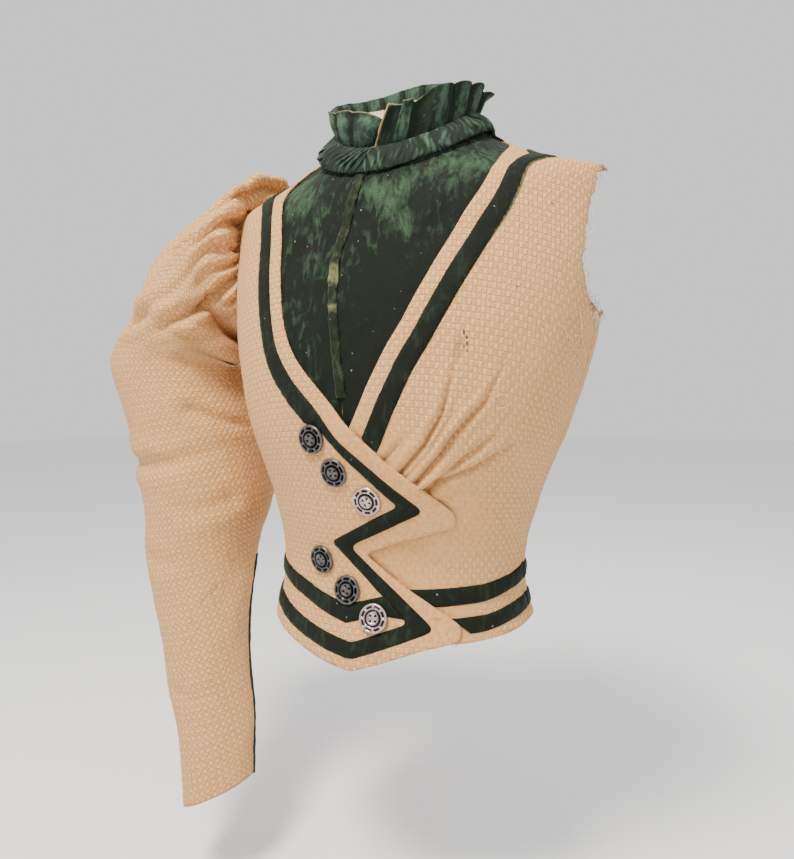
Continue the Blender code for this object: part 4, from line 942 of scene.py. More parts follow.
def makeBands():
    gap = bands["atSeam"]
    near, far = necklineBand(1)
    layBand("leftNecklineBand", near + far[::-1], leftOut, ["neckline_band_left"], bands["leftFlat"],
            restsOn=["leftFront"], snips=(bands["topSnip"], bands["crossing"]), wornEdge=far)
    near, far = (edge[:-6] for edge in necklineBand(-1))
    sideFoot = sideEnds("Lower", -1, gap)
    outer = near[-1:] + list(bands["lapOuter"]) + [sideFoot[1]]
    inner = far[-1:] + list(bands["lapInner"]) + [sideFoot[0]]
    outline = (near + eased(outer, bands["outerCorner"])[1:] + eased(inner, bands["innerCorner"])[:0:-1]
               + far[::-1])
    layBand("rightLapBand", outline, rightOut, ["lap_band_right"], bands["lapFlat"], restsOn=["rightFront"],
            snips=(bands["topSnip"],))
    for word, under in (("Upper", (0.0434, -0.3860)), ("Lower", (0.0674, -0.4020))):
        top, foot = bandEdges("left" + word)
        layBand(f"leftBand{word}", top + sideEnds(word, 1, -gap) + foot[::-1], leftOut,
                [f"waist_band_{word.lower()}_front_left"], bands["frontLeftFlat"], restsOn=["leftFront"],
                snips=((under, (0.091, -0.4188)),))
    top, foot = bandEdges("rightUpper")
    layBand("rightBandUpper", top[::-1] + sideEnds("Upper", -1, gap) + foot, rightOut,
            ["waist_band_upper_front_right"], bands["frontRightFlat"], restsOn=["rightFront"],
            snips=(bands["underLap"],))
    seamLevels, seamWidths = zip(*[(-level, width) for level, width in armholes["backSeam"]])
    for word in ("Upper", "Lower"):
        levels = bands["side" + word]
        for hand, side in (("left", 1), ("right", -1)):
            seam = [side * (pattern.girth(level, pi)[0] - np.interp(-level, seamLevels, seamWidths))
                    for level in levels]
            before, after = ([(girth + side * shift, level) for girth, level in zip(seam, levels)]
                             for shift in (-gap, gap))
            middle = [(side * pattern.girth(level, pi)[0] - side * 0.0006, level) for level in levels[::-1]]
            layBand(f"{hand}SideBand{word}", sideEnds(word, side, side * gap) + before[::-1], plainOut,
                    [f"waist_band_{word.lower()}_side_{hand}"], bands["sideFlat"],
                    restsOn=["side" + hand.capitalize()])
            layBand(f"{hand}BackBand{word}", after + middle, plainOut,
                    [f"waist_band_{word.lower()}_back_{hand}"], bands["backFlat"],
                    restsOn=["back" + hand.capitalize()])


makeBands()
print("velvet bands laid")


# The plastron: two halves of crushed velvet and the placket that covers their meeting

plastron = {
    "step": 0.0030, "shell": 0.0012, "underlap": 0.0125,
    "placketWidth": 0.0065, "placketSpan": (-0.236, -0.004), "placketStep": 0.0011, "placketBorder": 0.0008,
    "cord": 0.0020,
    "flat": {"flat": (0.13, 0.28), "area": 0.0205}, "placketFlat": {"flat": (0.010, 0.235), "area": 0.0019},
    # Where the placket is rubbed bare: level, reach, strength
    "rubbed": ((-0.137, 0.013, 0.72), (-0.165, 0.006, 0.60), (-0.105, 0.012, 0.40), (-0.060, 0.025, 0.33),
               (-0.215, 0.012, 0.22)),
    # Where the pile is brushed up or laid dark: girth, level, reach, strength
    "pileAndHighlight": (
        (0.031, -0.083, 0.015, 1.0), (0.014, -0.067, 0.011, 1.0), (0.043, -0.064, 0.012, 0.9),
        (0.039, -0.104, 0.011, 0.7), (-0.083, -0.044, 0.022, 0.8), (0.073, -0.048, 0.020, 0.6),
        (0.100, -0.050, 0.018, 0.7), (-0.060, -0.065, 0.018, 0.5), (-0.045, -0.096, 0.020, 0.3),
        (0.045, -0.180, 0.050, -0.9), (0.025, -0.230, 0.030, -0.9), (0.080, -0.100, 0.020, -0.5),
    ),
}


def plastronOut(places):
    crush = ripple(places * np.array([1.6, 0.7]), 15, 0.034, 0.012)
    return -velvet["tuckUnder"] + 0.0005 * np.clip(crush, -1.5, 1.0) - 0.0001


def makePlastron():
    placket = rounded(cutEdges["placket"])
    for word, side in (("left", 1), ("right", -1)):
        edge = [p for p in setIn(neckline(side), side * plastron["underlap"]) if -0.262 < p[1] < -0.001]
        top = shoulderEdge(side, True, (0.0, 0.15, 0.30, 0.42) if side > 0 else (0.0, 0.15, 0.30))
        neck = neckEdge(side, (3, 12, 24))
        middle = [(x, min(y, cutEdges["neck"])) for x, y in setIn(placket, side * cloth["seam"] / 2)]
        foot = (cutEdges["plastronFoot"][0] + side * cloth["seam"] / 2, cutEdges["plastronFoot"][1])
        outline = middle + [foot] + edge[::-1] + top[::-1] + neck[::-1]
        mesh = cutCloth(outline, plastron["step"])
        places = placesOf(mesh)
        paint(mesh, "pileAndHighlight", sum(strength * np.exp(-((places - (girth, level)) ** 2).sum(axis=1) / reach ** 2)
                                   for girth, level, reach, strength in plastron["pileAndHighlight"]))
        drapePiece(f"{word}Plastron", mesh, outline, plastronOut, [greenVelvet, creamLining], [f"plastron_{word}"],
                   "green_velvet", plastron["shell"], plastron["flat"])
    outline = [(x - 0.002, y) for x, y in placket] + setIn(placket, plastron["placketWidth"])[::-1]
    mesh = cutCloth(outline, plastron["placketStep"], border=plastron["placketBorder"])
    foot, top = plastron["placketSpan"]
    snip(mesh, (1.0, top), (-1.0, top))
    snip(mesh, (-1.0, foot), (1.0, foot))
    places = placesOf(mesh)
    rubbed = sum(strength * np.exp(-((places[:, 1] - level) / reach) ** 2)
                 for level, reach, strength in plastron["rubbed"])
    paint(mesh, "wear", rubbed + 0.15 * np.exp(-edgeDistance(places, outline) / 0.0010))

    def out(spots):
        away, _ = signedDistance(spots, placket)
        cords = np.cos(away / plastron["cord"] * 2 * pi) * smooth((spots[:, 1] + 0.120) / 0.02)
        return (plastronOut(spots) + velvet["thick"] + 0.0009 * smooth(edgeDistance(spots, outline) / 0.003)
                + 0.00035 * cords + 0.0006 * ripple(spots, 16, 0.02, 0.008))

    drapePiece("placket", mesh, outline, out, [rubbedVelvet], ["plastron_placket"], "worn_velvet",
               plastron["shell"], plastron["placketFlat"], restsOn=["leftPlastron"])


makePlastron()
print("plastron laid in")


# The collar: a lined stand, and one strip of velvet drawn in round its middle

collar = {
    "slit": radians(0.3), "standSlit": radians(2.2), "lining": 0.0010,
    "foot": (0.0012, 0.0022, 0.0022, -0.0006), "pinch": (0.0200, 0.0170, 0.0240, 0.0105),
    "standTop": (0.0440, 0.0250, 0.0580, 0.0110),
    "frillTop": (0.0540, 0.0340, 0.0690, 0.0040), "frillFoot": (-0.0056, -0.0020, -0.0045, -0.0060),
    "columns": 720, "lowerRows": 26, "upperRows": 28, "turnedIn": 0.031, "lower": 0.026, "upper": 0.046,
    "round": 0.085, "standRound": 0.070, "standHeight": 0.022, "standShell": 0.0009, "frillShell": 0.0012,
    "standFlat": {"flat": (0.41, 0.056), "area": 0.0155}, "frillFlat": {"flat": (0.50, 0.085), "area": 0.036},
    # How much higher the rim stands, in mm, at degrees round from the slit towards the wearer's left
    "rim": ((-180, 6), (-170, 7), (-150, 8), (-138, 9), (-127, 11), (-105, 12), (-88, 6), (-75, 1), (-60, 0),
            (-34, -3), (-23, -4), (-12, -9), (-3, -15), (0, -14), (3, -4), (22, -5),
            (29, -3), (41, 5), (60, 8), (82, 5), (100, 3), (120, 1), (150, 4), (180, 6)),
    # Folds of the upper frill: middle and half width in degrees, reach, how boxed, how closed at the rim
    "folds": (
        (-10, 9.5, 0.0052, 0, 1), (-29, 8.0, 0.0050, 0, 1), (-46, 8.0, 0.0048, 0, 0.9), (-63, 8.5, 0.0045, 0, 0.6),
        (-80, 8.0, 0.0045, 0.2, 0.3), (-97, 7.5, 0.0046, 0.3, 0.2), (-113, 8.5, 0.0044, 0.3, 0.2),
        (-130, 8.0, 0.0046, 0.3, 0.2), (-147, 8.5, 0.0048, 0.3, 0.2), (-164, 8.0, 0.0044, 0.3, 0.2),
        (21, 6.0, 0.0050, 1, 0), (34, 6.5, -0.0030, 0, 0), (50, 9.0, 0.0036, 0, 0), (68, 8.0, 0.0044, 0, 0),
        (88, 9.5, 0.0034, 0, 0), (111, 8.5, 0.0068, 0.3, 0), (129, 8.0, 0.0044, 0.3, 0.2),
        (144, 8.5, 0.0046, 0.3, 0.2), (161, 8.0, 0.0044, 0.3, 0.2), (178, 8.5, 0.0046, 0.3, 0.2),
    ),
}


def collarPoints(turn, line, out, rise):
    c = np.cos(turn)
    liftFront, liftSide, liftBack, drawIn = line
    lift = liftSide + (np.where(c > 0, liftFront, liftBack) - liftSide) * c * c
    radial = np.stack([np.sin(turn), -c, 0 * c], -1)
    up = np.stack([0 * c, 0 * c, lift + rise], -1)
    return neckPoint(turn) + radial * (out - drawIn)[..., None] + up


def gridMesh(points, across, along):
    # A sheet of rows and columns bent to the given points, and each vertex's row and column
    rows, columns = points.shape[:2]
    mesh = bmesh.new()
    bmesh.ops.create_grid(mesh, x_segments=columns - 1, y_segments=rows - 1, size=0.5)
    flat = np.array([(v.co.y, v.co.x) for v in mesh.verts])
    order = tuple(np.round((flat + 0.5) * (rows - 1, columns - 1)).astype(int).T)
    setPlaces(mesh, points[order])
    layGrain(mesh, *(np.broadcast_to(values, (rows, columns))[order] for values in (across, along)))
    return mesh, order


def mixLines(a, b, t):
    return tuple(p + (q - p) * t for p, q in zip(a, b))


def turnOutward(mesh, wayOut):
    # Faces a sheet outward: wayOut gives the way out at a place
    mesh.normal_update()
    if sum(face.normal.dot(wayOut(face.calc_center_median())) for face in mesh.faces) < 0:
        bmesh.ops.reverse_faces(mesh, faces=mesh.faces)


def fromNeckAxis(place):
    return Vector((place.x, place.y, 0))


def makeCollar():
    turn = np.linspace(collar["standSlit"], 2 * pi - collar["standSlit"], 181)
    shares = np.concatenate([np.linspace(0.3, 1, 9), 1 + np.linspace(0, 1, 13)[1:]])
    rows = []
    for t in shares:
        line = (mixLines(collar["foot"], collar["pinch"], t) if t <= 1
                else mixLines(collar["pinch"], collar["standTop"], t - 1))
        rows.append(collarPoints(turn, line, 0 * turn + 0.0004, 0 * turn))
    mesh, _ = gridMesh(np.stack(rows), turn * collar["standRound"], shares[:, None] * collar["standHeight"])
    turnOutward(mesh, fromNeckAxis)
    addPiece("collarStand", mesh, [creamLining], ["collar_stand"], "cream_lining", thick=collar["standShell"],
             flat=collar["standFlat"], held="stretched")
    points, degrees, heights, swell = frillPoints()
    mesh, order = gridMesh(points, np.radians(degrees) * collar["round"], heights)
    turnOutward(mesh, fromNeckAxis)
    onRight = degrees > 0
    endWear = np.where(onRight, 1.1, 0.5) * np.exp(-np.abs(degrees) / np.where(onRight, 3.2, 1.2))
    rimWear = np.exp(-(heights.max() - heights) / 0.0016) * (0.35 + 0.5 * np.exp(-((degrees + 5) / 45) ** 2))
    footWear = 0.2 * np.exp(-(heights - heights.min()) / 0.0015)
    wear = endWear * smooth(heights / 0.004 + 1) + rimWear + footWear
    paint(mesh, "wear", wear[order])
    # Painted highlight on the crowns of the folds and puffs, and painted shade between them
    paint(mesh, "pileAndHighlight", 2.2 * swell[order] - 1.3)
    # The strip is turned in at its rim, and its lower half is velvet inside and out
    velvetInside = ((heights > collar["turnedIn"]) | (heights < -0.004))[order]
    mesh.verts.index_update()
    for face in mesh.faces:
        if all(velvetInside[vertex.index] for vertex in face.verts):
            face.material_index = 2
    addPiece("collarFrill", mesh, [frillVelvet, creamLining, frillVelvet, frillVelvet], ["collar_frill"],
             "green_velvet", thick=collar["frillShell"], flat=collar["frillFlat"], held="gathered",
             restsOn=["collarStand"])


def gathered(turn, t):
    # The lower band: uneven puffs with sharp creases between them, slanting down from the slit
    lean = turn - np.where(turn > pi, -0.24, 0.09) * t * (1 + 0.5 * np.sin(4 * turn + 1))
    lean = lean + 0.022 * np.sin(6 * t + 3 * np.sin(5 * turn)) + 0.03 * np.sin(11 * turn)
    puff = np.abs(np.sin(22 * lean + 1.6 * np.sin(3 * lean + 1) + 0.9 * np.sin(7 * lean))) ** 0.7
    puff = puff * (0.75 + 0.25 * np.sin(9 * lean + 2))
    small = np.abs(np.sin(47 * lean + 2 * np.sin(5 * lean) + 5 * t)) ** 0.8
    return puff, small


def foldedOut(degrees, t):
    # The upper frill: how far its hand-laid folds stand out, and how near each place is to a fold's crown
    out = np.zeros(len(degrees))
    crown = np.zeros(len(degrees))
    for middle, half, reach, boxed, closed in collar["folds"]:
        u = np.minimum(np.abs(degrees - middle), np.abs(degrees - middle + 360)) / half
        dome = np.clip(1 - u * u, 0, None) ** 0.6
        box = smooth((1.12 - u) / 0.35)
        shape = dome * (1 - boxed) + box * boxed
        shut = 1 - 0.85 * closed * smooth((t - 0.5) / 0.5) + 0.35 * closed * sin(pi * t)
        out += reach * shape * t ** 0.5 * shut
        crown = np.maximum(crown, shape * (reach > 0))
    return out, crown


def frillPoints():
    turn = np.linspace(collar["slit"], 2 * pi - collar["slit"], collar["columns"])
    degrees = np.degrees(np.where(turn > pi, turn - 2 * pi, turn))
    clear = collar["lining"] / 2 + velvet["thick"] / 2 + 2 * cloth["seam"]
    rows, heights, swells = [], [], []
    for t in np.linspace(1, 0, collar["lowerRows"] + 1)[:-1]:
        line = mixLines(collar["pinch"], collar["frillFoot"], t)
        puff, small = gathered(turn, t)
        bulge = sin(pi * min(0.94 * t + 0.08, 1)) ** 0.6
        out = clear + 0.0020 * sin(pi * t) + 0.0014 * t ** 0.6 + (0.0052 * puff + 0.0015 * small) * bulge
        rows.append(collarPoints(turn, line, out, -0.0022 * (puff + 0.4 * small) * t * bulge))
        heights.append(-collar["lower"] * t)
        swells.append(0.6 * puff + 0.4 * small)
    rim = np.interp(degrees, *zip(*collar["rim"])) / 1000
    for t in np.linspace(0, 1, collar["upperRows"] + 1):
        # Pinched at its foot, curled over at its rim, flared beside the slit and pulled out to a tip on the left
        line = mixLines(collar["pinch"], collar["frillTop"], t)
        reach, crown = foldedOut(degrees, t)
        pinched = 0.0014 * np.abs(np.sin(33 * turn + 2 * np.sin(5 * turn))) * (1 - t) ** 2 * min(1, 5 * t)
        curl = 0.0010 * smooth((t - 0.85) / 0.15)
        flare = 0.0035 * t * np.where(degrees > 0, np.exp(-(degrees / 5) ** 2), 0)
        tip = 0.0040 * smooth((t - 0.6) / 0.4) * np.exp(-((degrees - 113) / 7) ** 2)
        tucked = -0.0030 * t * np.where(degrees < 0, np.exp(-(degrees / 7) ** 2), 0)
        slant = np.radians(np.where(degrees > 0, 12, 12.6)) * t * np.exp(-(degrees / 24) ** 2)
        rows.append(collarPoints(turn + slant, line, clear + reach + pinched + curl + flare + tip + tucked,
                                 rim * t - 0.5 * tip + 0.0012 * t * crown))
        heights.append(collar["upper"] * t)
        swells.append(crown)
    heights = np.broadcast_to(np.array(heights)[:, None], (len(rows), len(turn)))
    return np.stack(rows), np.broadcast_to(degrees, heights.shape), heights, np.stack(swells)


makeCollar()
print("collar gathered on")


# The leg-of-mutton sleeve, from the armhole round the top of the arm to the wrist

sleeve = {
    "x": (-0.174, -0.211, -0.230, -0.246, -0.263, -0.257, -0.245, -0.237, -0.236, -0.224, -0.208, -0.192, -0.179),
    "y": (0.000, 0.000, 0.000, 0.000, 0.000, 0.000, -0.001, -0.006, -0.015, -0.028, -0.040, -0.050, -0.062),
    "z": (-0.100, -0.126, -0.144, -0.172, -0.197, -0.241, -0.290, -0.344, -0.395, -0.455, -0.515, -0.565, -0.617),
    "turn": (-14, 33, 42, 68, 84, 90, 96, 93, 97, 98, 98, 98, 115),
    "outer": (0.088, 0.075, 0.065, 0.059, 0.080, 0.071, 0.066, 0.064, 0.057, 0.047, 0.041, 0.036, 0.036),
    "inner": (0.077, 0.077, 0.076, 0.072, 0.074, 0.076, 0.071, 0.066, 0.056, 0.046, 0.039, 0.037, 0.034),
    "front": (0.072, 0.080, 0.086, 0.084, 0.083, 0.080, 0.074, 0.068, 0.058, 0.048, 0.041, 0.038, 0.035),
    "back": (0.070, 0.078, 0.084, 0.084, 0.083, 0.080, 0.074, 0.068, 0.058, 0.048, 0.041, 0.038, 0.035),
    "gathers": (0.0046, 0.0046, 0.0032, 0.0016, 0.0006, 0, 0, 0, 0, 0, 0, 0, 0),
    "gatherCount": 15, "headRise": 0.005, "headGap": 0.0012, "innerSeam": 35 / 60, "outerSeam": 53 / 60,
    "columns": 270, "rows": 225, "upperFlat": {"flat": (0.44, 0.66), "area": 0.175},
    "underFlat": {"flat": (0.18, 0.60), "area": 0.071},
    # The last entry sets how dark the painted shade along the folds is
    "roundMetres": 0.44, "crowding": 1.4, "turnedUnder": 0.0006, "soil": 45,
    "edgingFrom": 0.64, "edgingStep": 0.0012, "edgingFlat": {"flat": (0.010, 0.24), "area": 0.0012},
    # Folds: lines of (share of the way round, distance from the armhole), how deep and how wide
    "folds": (
        (((0.000, 0.012), (0.060, 0.020), (0.105, 0.020), (0.150, 0.036), (0.156, 0.056)), 0.0062, 0.0042),
        (((0.098, 0.002), (0.118, 0.006), (0.128, 0.014)), 0.0026, 0.0020),
        (((0.150, 0.002), (0.163, 0.013), (0.188, 0.026), (0.204, 0.034), (0.215, 0.048), (0.200, 0.070)),
         0.0052, 0.0036),
        (((0.190, 0.060), (0.183, 0.080), (0.170, 0.092)), 0.0022, 0.0030),
        (((0.212, 0.003), (0.225, 0.010), (0.226, 0.021)), 0.0036, 0.0026),
        (((0.250, 0.003), (0.271, 0.018), (0.285, 0.034)), 0.0048, 0.0036),
        (((0.236, 0.026), (0.260, 0.060), (0.263, 0.099), (0.242, 0.125), (0.190, 0.143)), 0.0026, 0.0048),
        (((0.283, 0.003), (0.312, 0.016), (0.333, 0.024), (0.342, 0.044), (0.325, 0.075), (0.308, 0.105),
          (0.290, 0.133), (0.250, 0.151)), 0.0080, 0.0046),
        (((0.340, 0.004), (0.352, 0.014), (0.356, 0.024)), 0.0040, 0.0026),
        (((0.375, 0.000), (0.388, 0.021), (0.376, 0.052), (0.350, 0.090), (0.300, 0.120)), 0.0040, 0.0034),
        (((0.425, 0.048), (0.405, 0.070), (0.360, 0.110), (0.300, 0.140)), 0.0030, 0.0056),
        (((0.471, 0.085), (0.482, 0.120), (0.479, 0.177), (0.463, 0.206)), 0.0050, 0.0075),
    ),
    # Under the arm the cloth is eased smooth: share, length, half width, half length, how far
    "ease": (0.450, 0.052, 0.034, 0.062, 80),
    # Softer creases lower down, the same way
    "creases": (
        (((0.150, 0.150), (0.200, 0.143), (0.279, 0.123)), 0.0032, 0.0060),
        (((0.120, 0.283), (0.200, 0.289), (0.287, 0.290), (0.362, 0.284), (0.430, 0.280)), 0.0024, 0.0075),
        (((0.360, 0.235), (0.430, 0.252), (0.500, 0.258)), 0.0020, 0.0070),
        (((0.420, 0.330), (0.340, 0.338), (0.260, 0.330)), 0.0015, 0.0080),
        (((0.412, 0.423), (0.379, 0.431), (0.350, 0.441)), 0.0010, 0.0026),
        (((0.180, 0.385), (0.260, 0.392), (0.330, 0.386)), 0.0012, 0.0080),
        (((0.200, 0.520), (0.300, 0.528), (0.400, 0.520)), 0.0010, 0.0060),
        (((0.700, 0.270), (0.600, 0.284), (0.520, 0.270)), 0.0026, 0.0070),
        (((0.740, 0.300), (0.640, 0.316), (0.540, 0.302)), 0.0020, 0.0060),
    ),
}


sleeveMiddle = [Vector(place) for place in zip(sleeve["x"], sleeve["y"], sleeve["z"])]


def fromSleeveMiddle(place):
    return place - min(sleeveMiddle, key=lambda middle: (place - middle).length)


def onSleeve(line):
    return [(share * sleeve["roundMetres"], length) for share, length in line]


def foldRelief(places, folds):
    # Each fold is a trough with a soft ridge along either side of it
    out = np.zeros(len(places))
    for line, depth, width in folds:
        away, along = signedDistance(places, onSleeve(line))
        fade = smooth((1.04 - along) / 0.55)
        trough = -np.exp(-(away / width) ** 2)
        ridge = 0.50 * np.exp(-((np.abs(away) - 2.2 * width) / (1.35 * width)) ** 2)
        out += 1.2 * depth * fade * (trough + ridge)
    return out


def sleeveRelief(around, lengths, gathers):
    share, length = np.meshgrid(around / (2 * pi), lengths)
    places = np.stack([share.ravel() * sleeve["roundMetres"], length.ravel()], -1)
    # The folds are repeated behind the arm, and the creases are doubled
    folds = list(sleeve["folds"])
    folds += [([(1.01 - 0.98 * s, 1.1 * l) for s, l in line], 0.85 * depth, width) for line, depth, width in folds]
    folds += [(line, 1.55 * depth, width) for line, depth, width in sleeve["creases"]]
    relief = foldRelief(places, folds).reshape(share.shape)
    wave = np.cos(sleeve["gatherCount"] * around) * (0.75 + 0.25 * np.sin(3 * around + 1))
    relief = (relief + 0.25 * gathers[:, None] * wave) * smooth(length / 0.006 + 0.12)
    relief = np.maximum(relief, -0.0035 - 0.10 * length)
    ruched = np.abs(np.sin(44 * around + 2.2 * np.sin(5 * around)))
    uneven = 0.0008 * ripple(places, 21, 0.12, 0.05) + 0.00022 * ripple(places, 22, 0.02, 0.009)
    return relief + 0.0012 * ruched * np.exp(-length / 0.013) + uneven.reshape(share.shape)


def armholeRing(side, columns):
    # Evenly spaced places round the armhole, a little inside its edge
    share = np.linspace(0.0, 1.0, 60)
    rows = []
    for fore in (True, False):
        girth, level = armholePoint(side, share, fore)
        points = pattern.drape(girth, level, 0 * share)
        walked = passed(np.linalg.norm(np.diff(points, axis=0), axis=1))
        wanted = np.linspace(0, walked[-1], columns // 2 + 1)
        rows.append(np.stack([np.interp(wanted, walked, girth), np.interp(wanted, walked, level)], -1))
    middle = np.mean(rows, axis=(0, 1))
    for k, row in enumerate(rows):
        along = np.gradient(row, axis=0)
        inward = unit(np.stack([-along[:, 1], along[:, 0]], -1))
        inward *= np.sign((inward * (middle - row)).sum())
        row = row + inward * (cloth["thick"] / 2 + sleeve["headGap"])
        rows[k] = np.minimum(row, [np.inf, 0])
    return np.concatenate([rows[0][:-1], rows[1][:0:-1]])


def sleeveRing(k, around):
    turn = radians(sleeve["turn"][k])
    up = np.array([-sin(turn), 0, cos(turn)])
    lift = np.where(np.cos(around) > 0, sleeve["outer"][k], sleeve["inner"][k]) * np.cos(around)
    depth = -np.where(np.sin(around) > 0, sleeve["front"][k], sleeve["back"][k]) * np.sin(around)
    centre = np.array([sleeve["x"][k], sleeve["y"][k], sleeve["z"][k]])
    return centre + lift[:, None] * up + depth[:, None] * np.array([0.0, 1.0, 0.0])


def sleeveBase(columns, rows):
    # The sleeve's smooth form, its rows closest at the armhole
    around = np.arange(columns) * 2 * pi / columns
    ring = armholeRing(-1, columns)
    head, rise = (pattern.drape(ring[:, 0], ring[:, 1], np.full(len(ring), out)) for out in (0, sleeve["headRise"]))
    rings = [head, rise] + [sleeveRing(k, around) for k in range(len(sleeve["x"]))]
    rings = np.stack([2 * rings[0] - rings[1]] + rings + [2 * rings[-1] - rings[-2]])
    sizes = np.array([0, 0, 0.0008] + list(sleeve["gathers"]) + [0])

    def at(step):
        k = min(int(step), len(rings) - 4)
        t = step - k
        a, b, c, d = rings[k:k + 4]
        return cubic(b, (c - a) / 2, c, (d - b) / 2, t), sizes[k + 1] * (1 - t) + sizes[k + 2] * t

    fine = np.linspace(0, len(rings) - 3, 400)
    trial = np.stack([at(step)[0] for step in fine])
    walked = passed(np.linalg.norm(np.diff(trial, axis=0), axis=-1).mean(axis=1))
    lengths = walked[-1] * np.linspace(0, 1, rows) ** sleeve["crowding"]
    grid, gathers = zip(*[at(step) for step in np.interp(lengths, walked, fine)])
    return around, np.stack(grid), np.array(gathers), lengths


def ringFacing(grid):
    across = np.roll(grid, -1, axis=1) - np.roll(grid, 1, axis=1)
    normal = unit(np.cross(across, np.gradient(grid, axis=0)))
    outward = grid[:, :, 0] - grid[:, :, 0].mean(axis=1, keepdims=True)
    return normal * np.sign((normal[:, :, 0] * outward).sum())


def easeUnderArm(points, around, lengths):
    middle, low, wide, high, times = sleeve["ease"]
    aside = (around / (2 * pi) - middle) * sleeve["roundMetres"] / wide
    down = (lengths[:, None] - low) / high
    amount = 0.8 * np.exp(-(aside ** 2 + down ** 2) ** 2) * smooth(lengths / 0.005)[:, None]
    amount = amount[1:-1, :, None]
    points = points.copy()
    for _ in range(times):
        sides = np.roll(points, 1, axis=1) + np.roll(points, -1, axis=1)
        mean = (sides[1:-1] + points[:-2] + points[2:]) / 4
        points[1:-1] += amount * (mean - points[1:-1])
    return points


def makeSleeve():
    columns = sleeve["columns"]
    around, grid, gathers, lengths = sleeveBase(columns, sleeve["rows"])
    facing = ringFacing(grid)
    outer = grid + facing * (sleeveRelief(around, lengths, gathers) + cloth["thick"] / 2)[..., None]
    outer = easeUnderArm(outer, around, lengths)
    girth = np.linalg.norm(np.roll(grid, -1, axis=1) - grid, axis=-1).sum(axis=1)
    girth = np.maximum.accumulate(girth[::-1])[::-1]     # above its fullest place the cloth is gathered, not narrower
    for word, first, last in (("upper", sleeve["outerSeam"] - 1, sleeve["innerSeam"]),
                              ("under", sleeve["innerSeam"], sleeve["outerSeam"])):
        picked = np.arange(round(first * columns), round(last * columns) + 1)
        piece = outer[:, picked % columns].copy()
        for end, near in ((0, 1), (-1, -2)):
            piece[:, end] += (unit(piece[:, near] - piece[:, end]) * cloth["seam"]
                              - facing[:, picked[end] % columns] * sleeve["turnedUnder"])
        middle = (picked[0] + picked[-1]) / 2
        mesh, order = gridMesh(piece, (picked - middle) / columns * girth[:, None], -lengths[:, None])
        turnOutward(mesh, fromSleeveMiddle)
        spots = np.stack([(picked / columns % 1 * sleeve["roundMetres"])[order[1]], lengths[order[0]]], -1)
        # Painted shade along the troughs of the folds
        soil = np.zeros(len(spots))
        for line, depth, width in sleeve["folds"]:
            away, down = signedDistance(spots, onSleeve(line))
            soil += sleeve["soil"] * depth * smooth((1 - down) / 0.8) * np.exp(-(away / (0.45 * width)) ** 2)
        paint(mesh, "soil", np.clip(soil, 0, 0.35))
        addPiece("sleeve" + word.capitalize(), mesh, [tanSleeve, creamLining], [f"sleeve_{word}"], "tan_cloth",
                 thick=cloth["shell"], flat=sleeve[word + "Flat"], held="gathered")
    # The dark edging lies over the lower part of the hind seam
    seam = round(sleeve["innerSeam"] * columns)
    low = np.searchsorted(lengths, sleeve["edgingFrom"] * lengths[-1])
    strip = np.arange(seam - 4, seam + 2)
    step = sleeve["edgingStep"]
    mesh, _ = gridMesh(outer[low:, strip] + facing[low:, strip] * step, np.arange(len(strip)) * step,
                       -lengths[low:, None])
    turnOutward(mesh, fromSleeveMiddle)
    addPiece("sleeveEdging", mesh, [blackEdging], ["sleeve_edging"], "dark_edging", thick=0.0010,
             flat=sleeve["edgingFlat"], restsOn=["sleeveUpper"])


makeSleeve()
print("sleeve set in")


# The raw armhole: what is left of its lining, and frayed ends

rawArmhole = {
    "level": -0.120, "shares": (0.84, 0.78), "shell": 0.0008,
    "lip": ((-0.014, -0.0020), (-0.001, -0.0020), (0.003, -0.0004), (0.006, 0.0030)),
    "flat": {"flat": (0.09, 0.017), "area": 0.0012},
    "threads": 150, "threadRadius": 0.00026, "threadLength": 0.0105,
    "hem": ((0.090, -0.430), (0.088, -0.431), (0.085, -0.431), (-0.040, -0.4475), (-0.046, -0.446),
            (-0.050, -0.445), (-0.054, -0.444), (-0.058, -0.443), (-0.063, -0.4418), (-0.070, -0.440),
            (-0.078, -0.438), (0.030, -0.4465)),
    "looseEnds": (
        ((0.167, -0.183), (0.176, -0.190), (0.190, -0.199), (0.198, -0.197), (0.193, -0.190), (0.183, -0.189)),
        ((0.117, -0.236), (0.124, -0.234), (0.130, -0.238), (0.126, -0.243), (0.119, -0.244)),
        ((0.186, -0.172), (0.192, -0.186), (0.205, -0.200), (0.215, -0.204)),
        ((-0.032, -0.343), (-0.022, -0.342), (-0.011, -0.343)),
    ),
}


def towardsHole(girth, level):
    # The way into the raw armhole from a place at its edge
    middle = pattern.girth(rawArmhole["level"], pi / 2)[0]
    return unit(np.stack([middle - girth, rawArmhole["level"] - level], -1))


def makeArmholeLining():
    # A lip of lining along the foot of the armhole, rolled out at its ragged edge
    fromFront, toBack = rawArmhole["shares"]
    share = np.concatenate([np.linspace(fromFront, 1.0, 24), np.linspace(1.0, toBack, 20)[1:]])
    places = np.arange(len(share))
    girth, level = np.where(places < 24, armholePoint(1, share, True), armholePoint(1, share, False))
    away = towardsHole(girth, level)
    fine = np.linspace(0, 3, 16)
    ragged = 0.0012 * np.sin(places * 1.7) + 0.0008 * np.sin(places * 0.6)
    rows = []
    for k, t in enumerate(fine):
        past, out = (np.interp(t, range(4), column) for column in zip(*rawArmhole["lip"]))
        past = past + ragged * k / 15
        curl = 0.0005 * np.sin(places * 0.9 + k * 0.3) * k / 15
        rows.append(pattern.drape(girth + away[:, 0] * past, level + away[:, 1] * past, out + curl))
    mesh, _ = gridMesh(np.stack(rows), places * 0.0028, fine[:, None] * 0.008)
    turnOutward(mesh, lambda place: Vector((1, 0, 0)))
    addPiece("armholeLining", mesh, [rawLining], ["armhole_lining_left"], "cream_lining", thick=rawArmhole["shell"],
             flat=rawArmhole["flat"], restsOn=["leftFront"])


makeArmholeLining()
print("raw armhole lined")


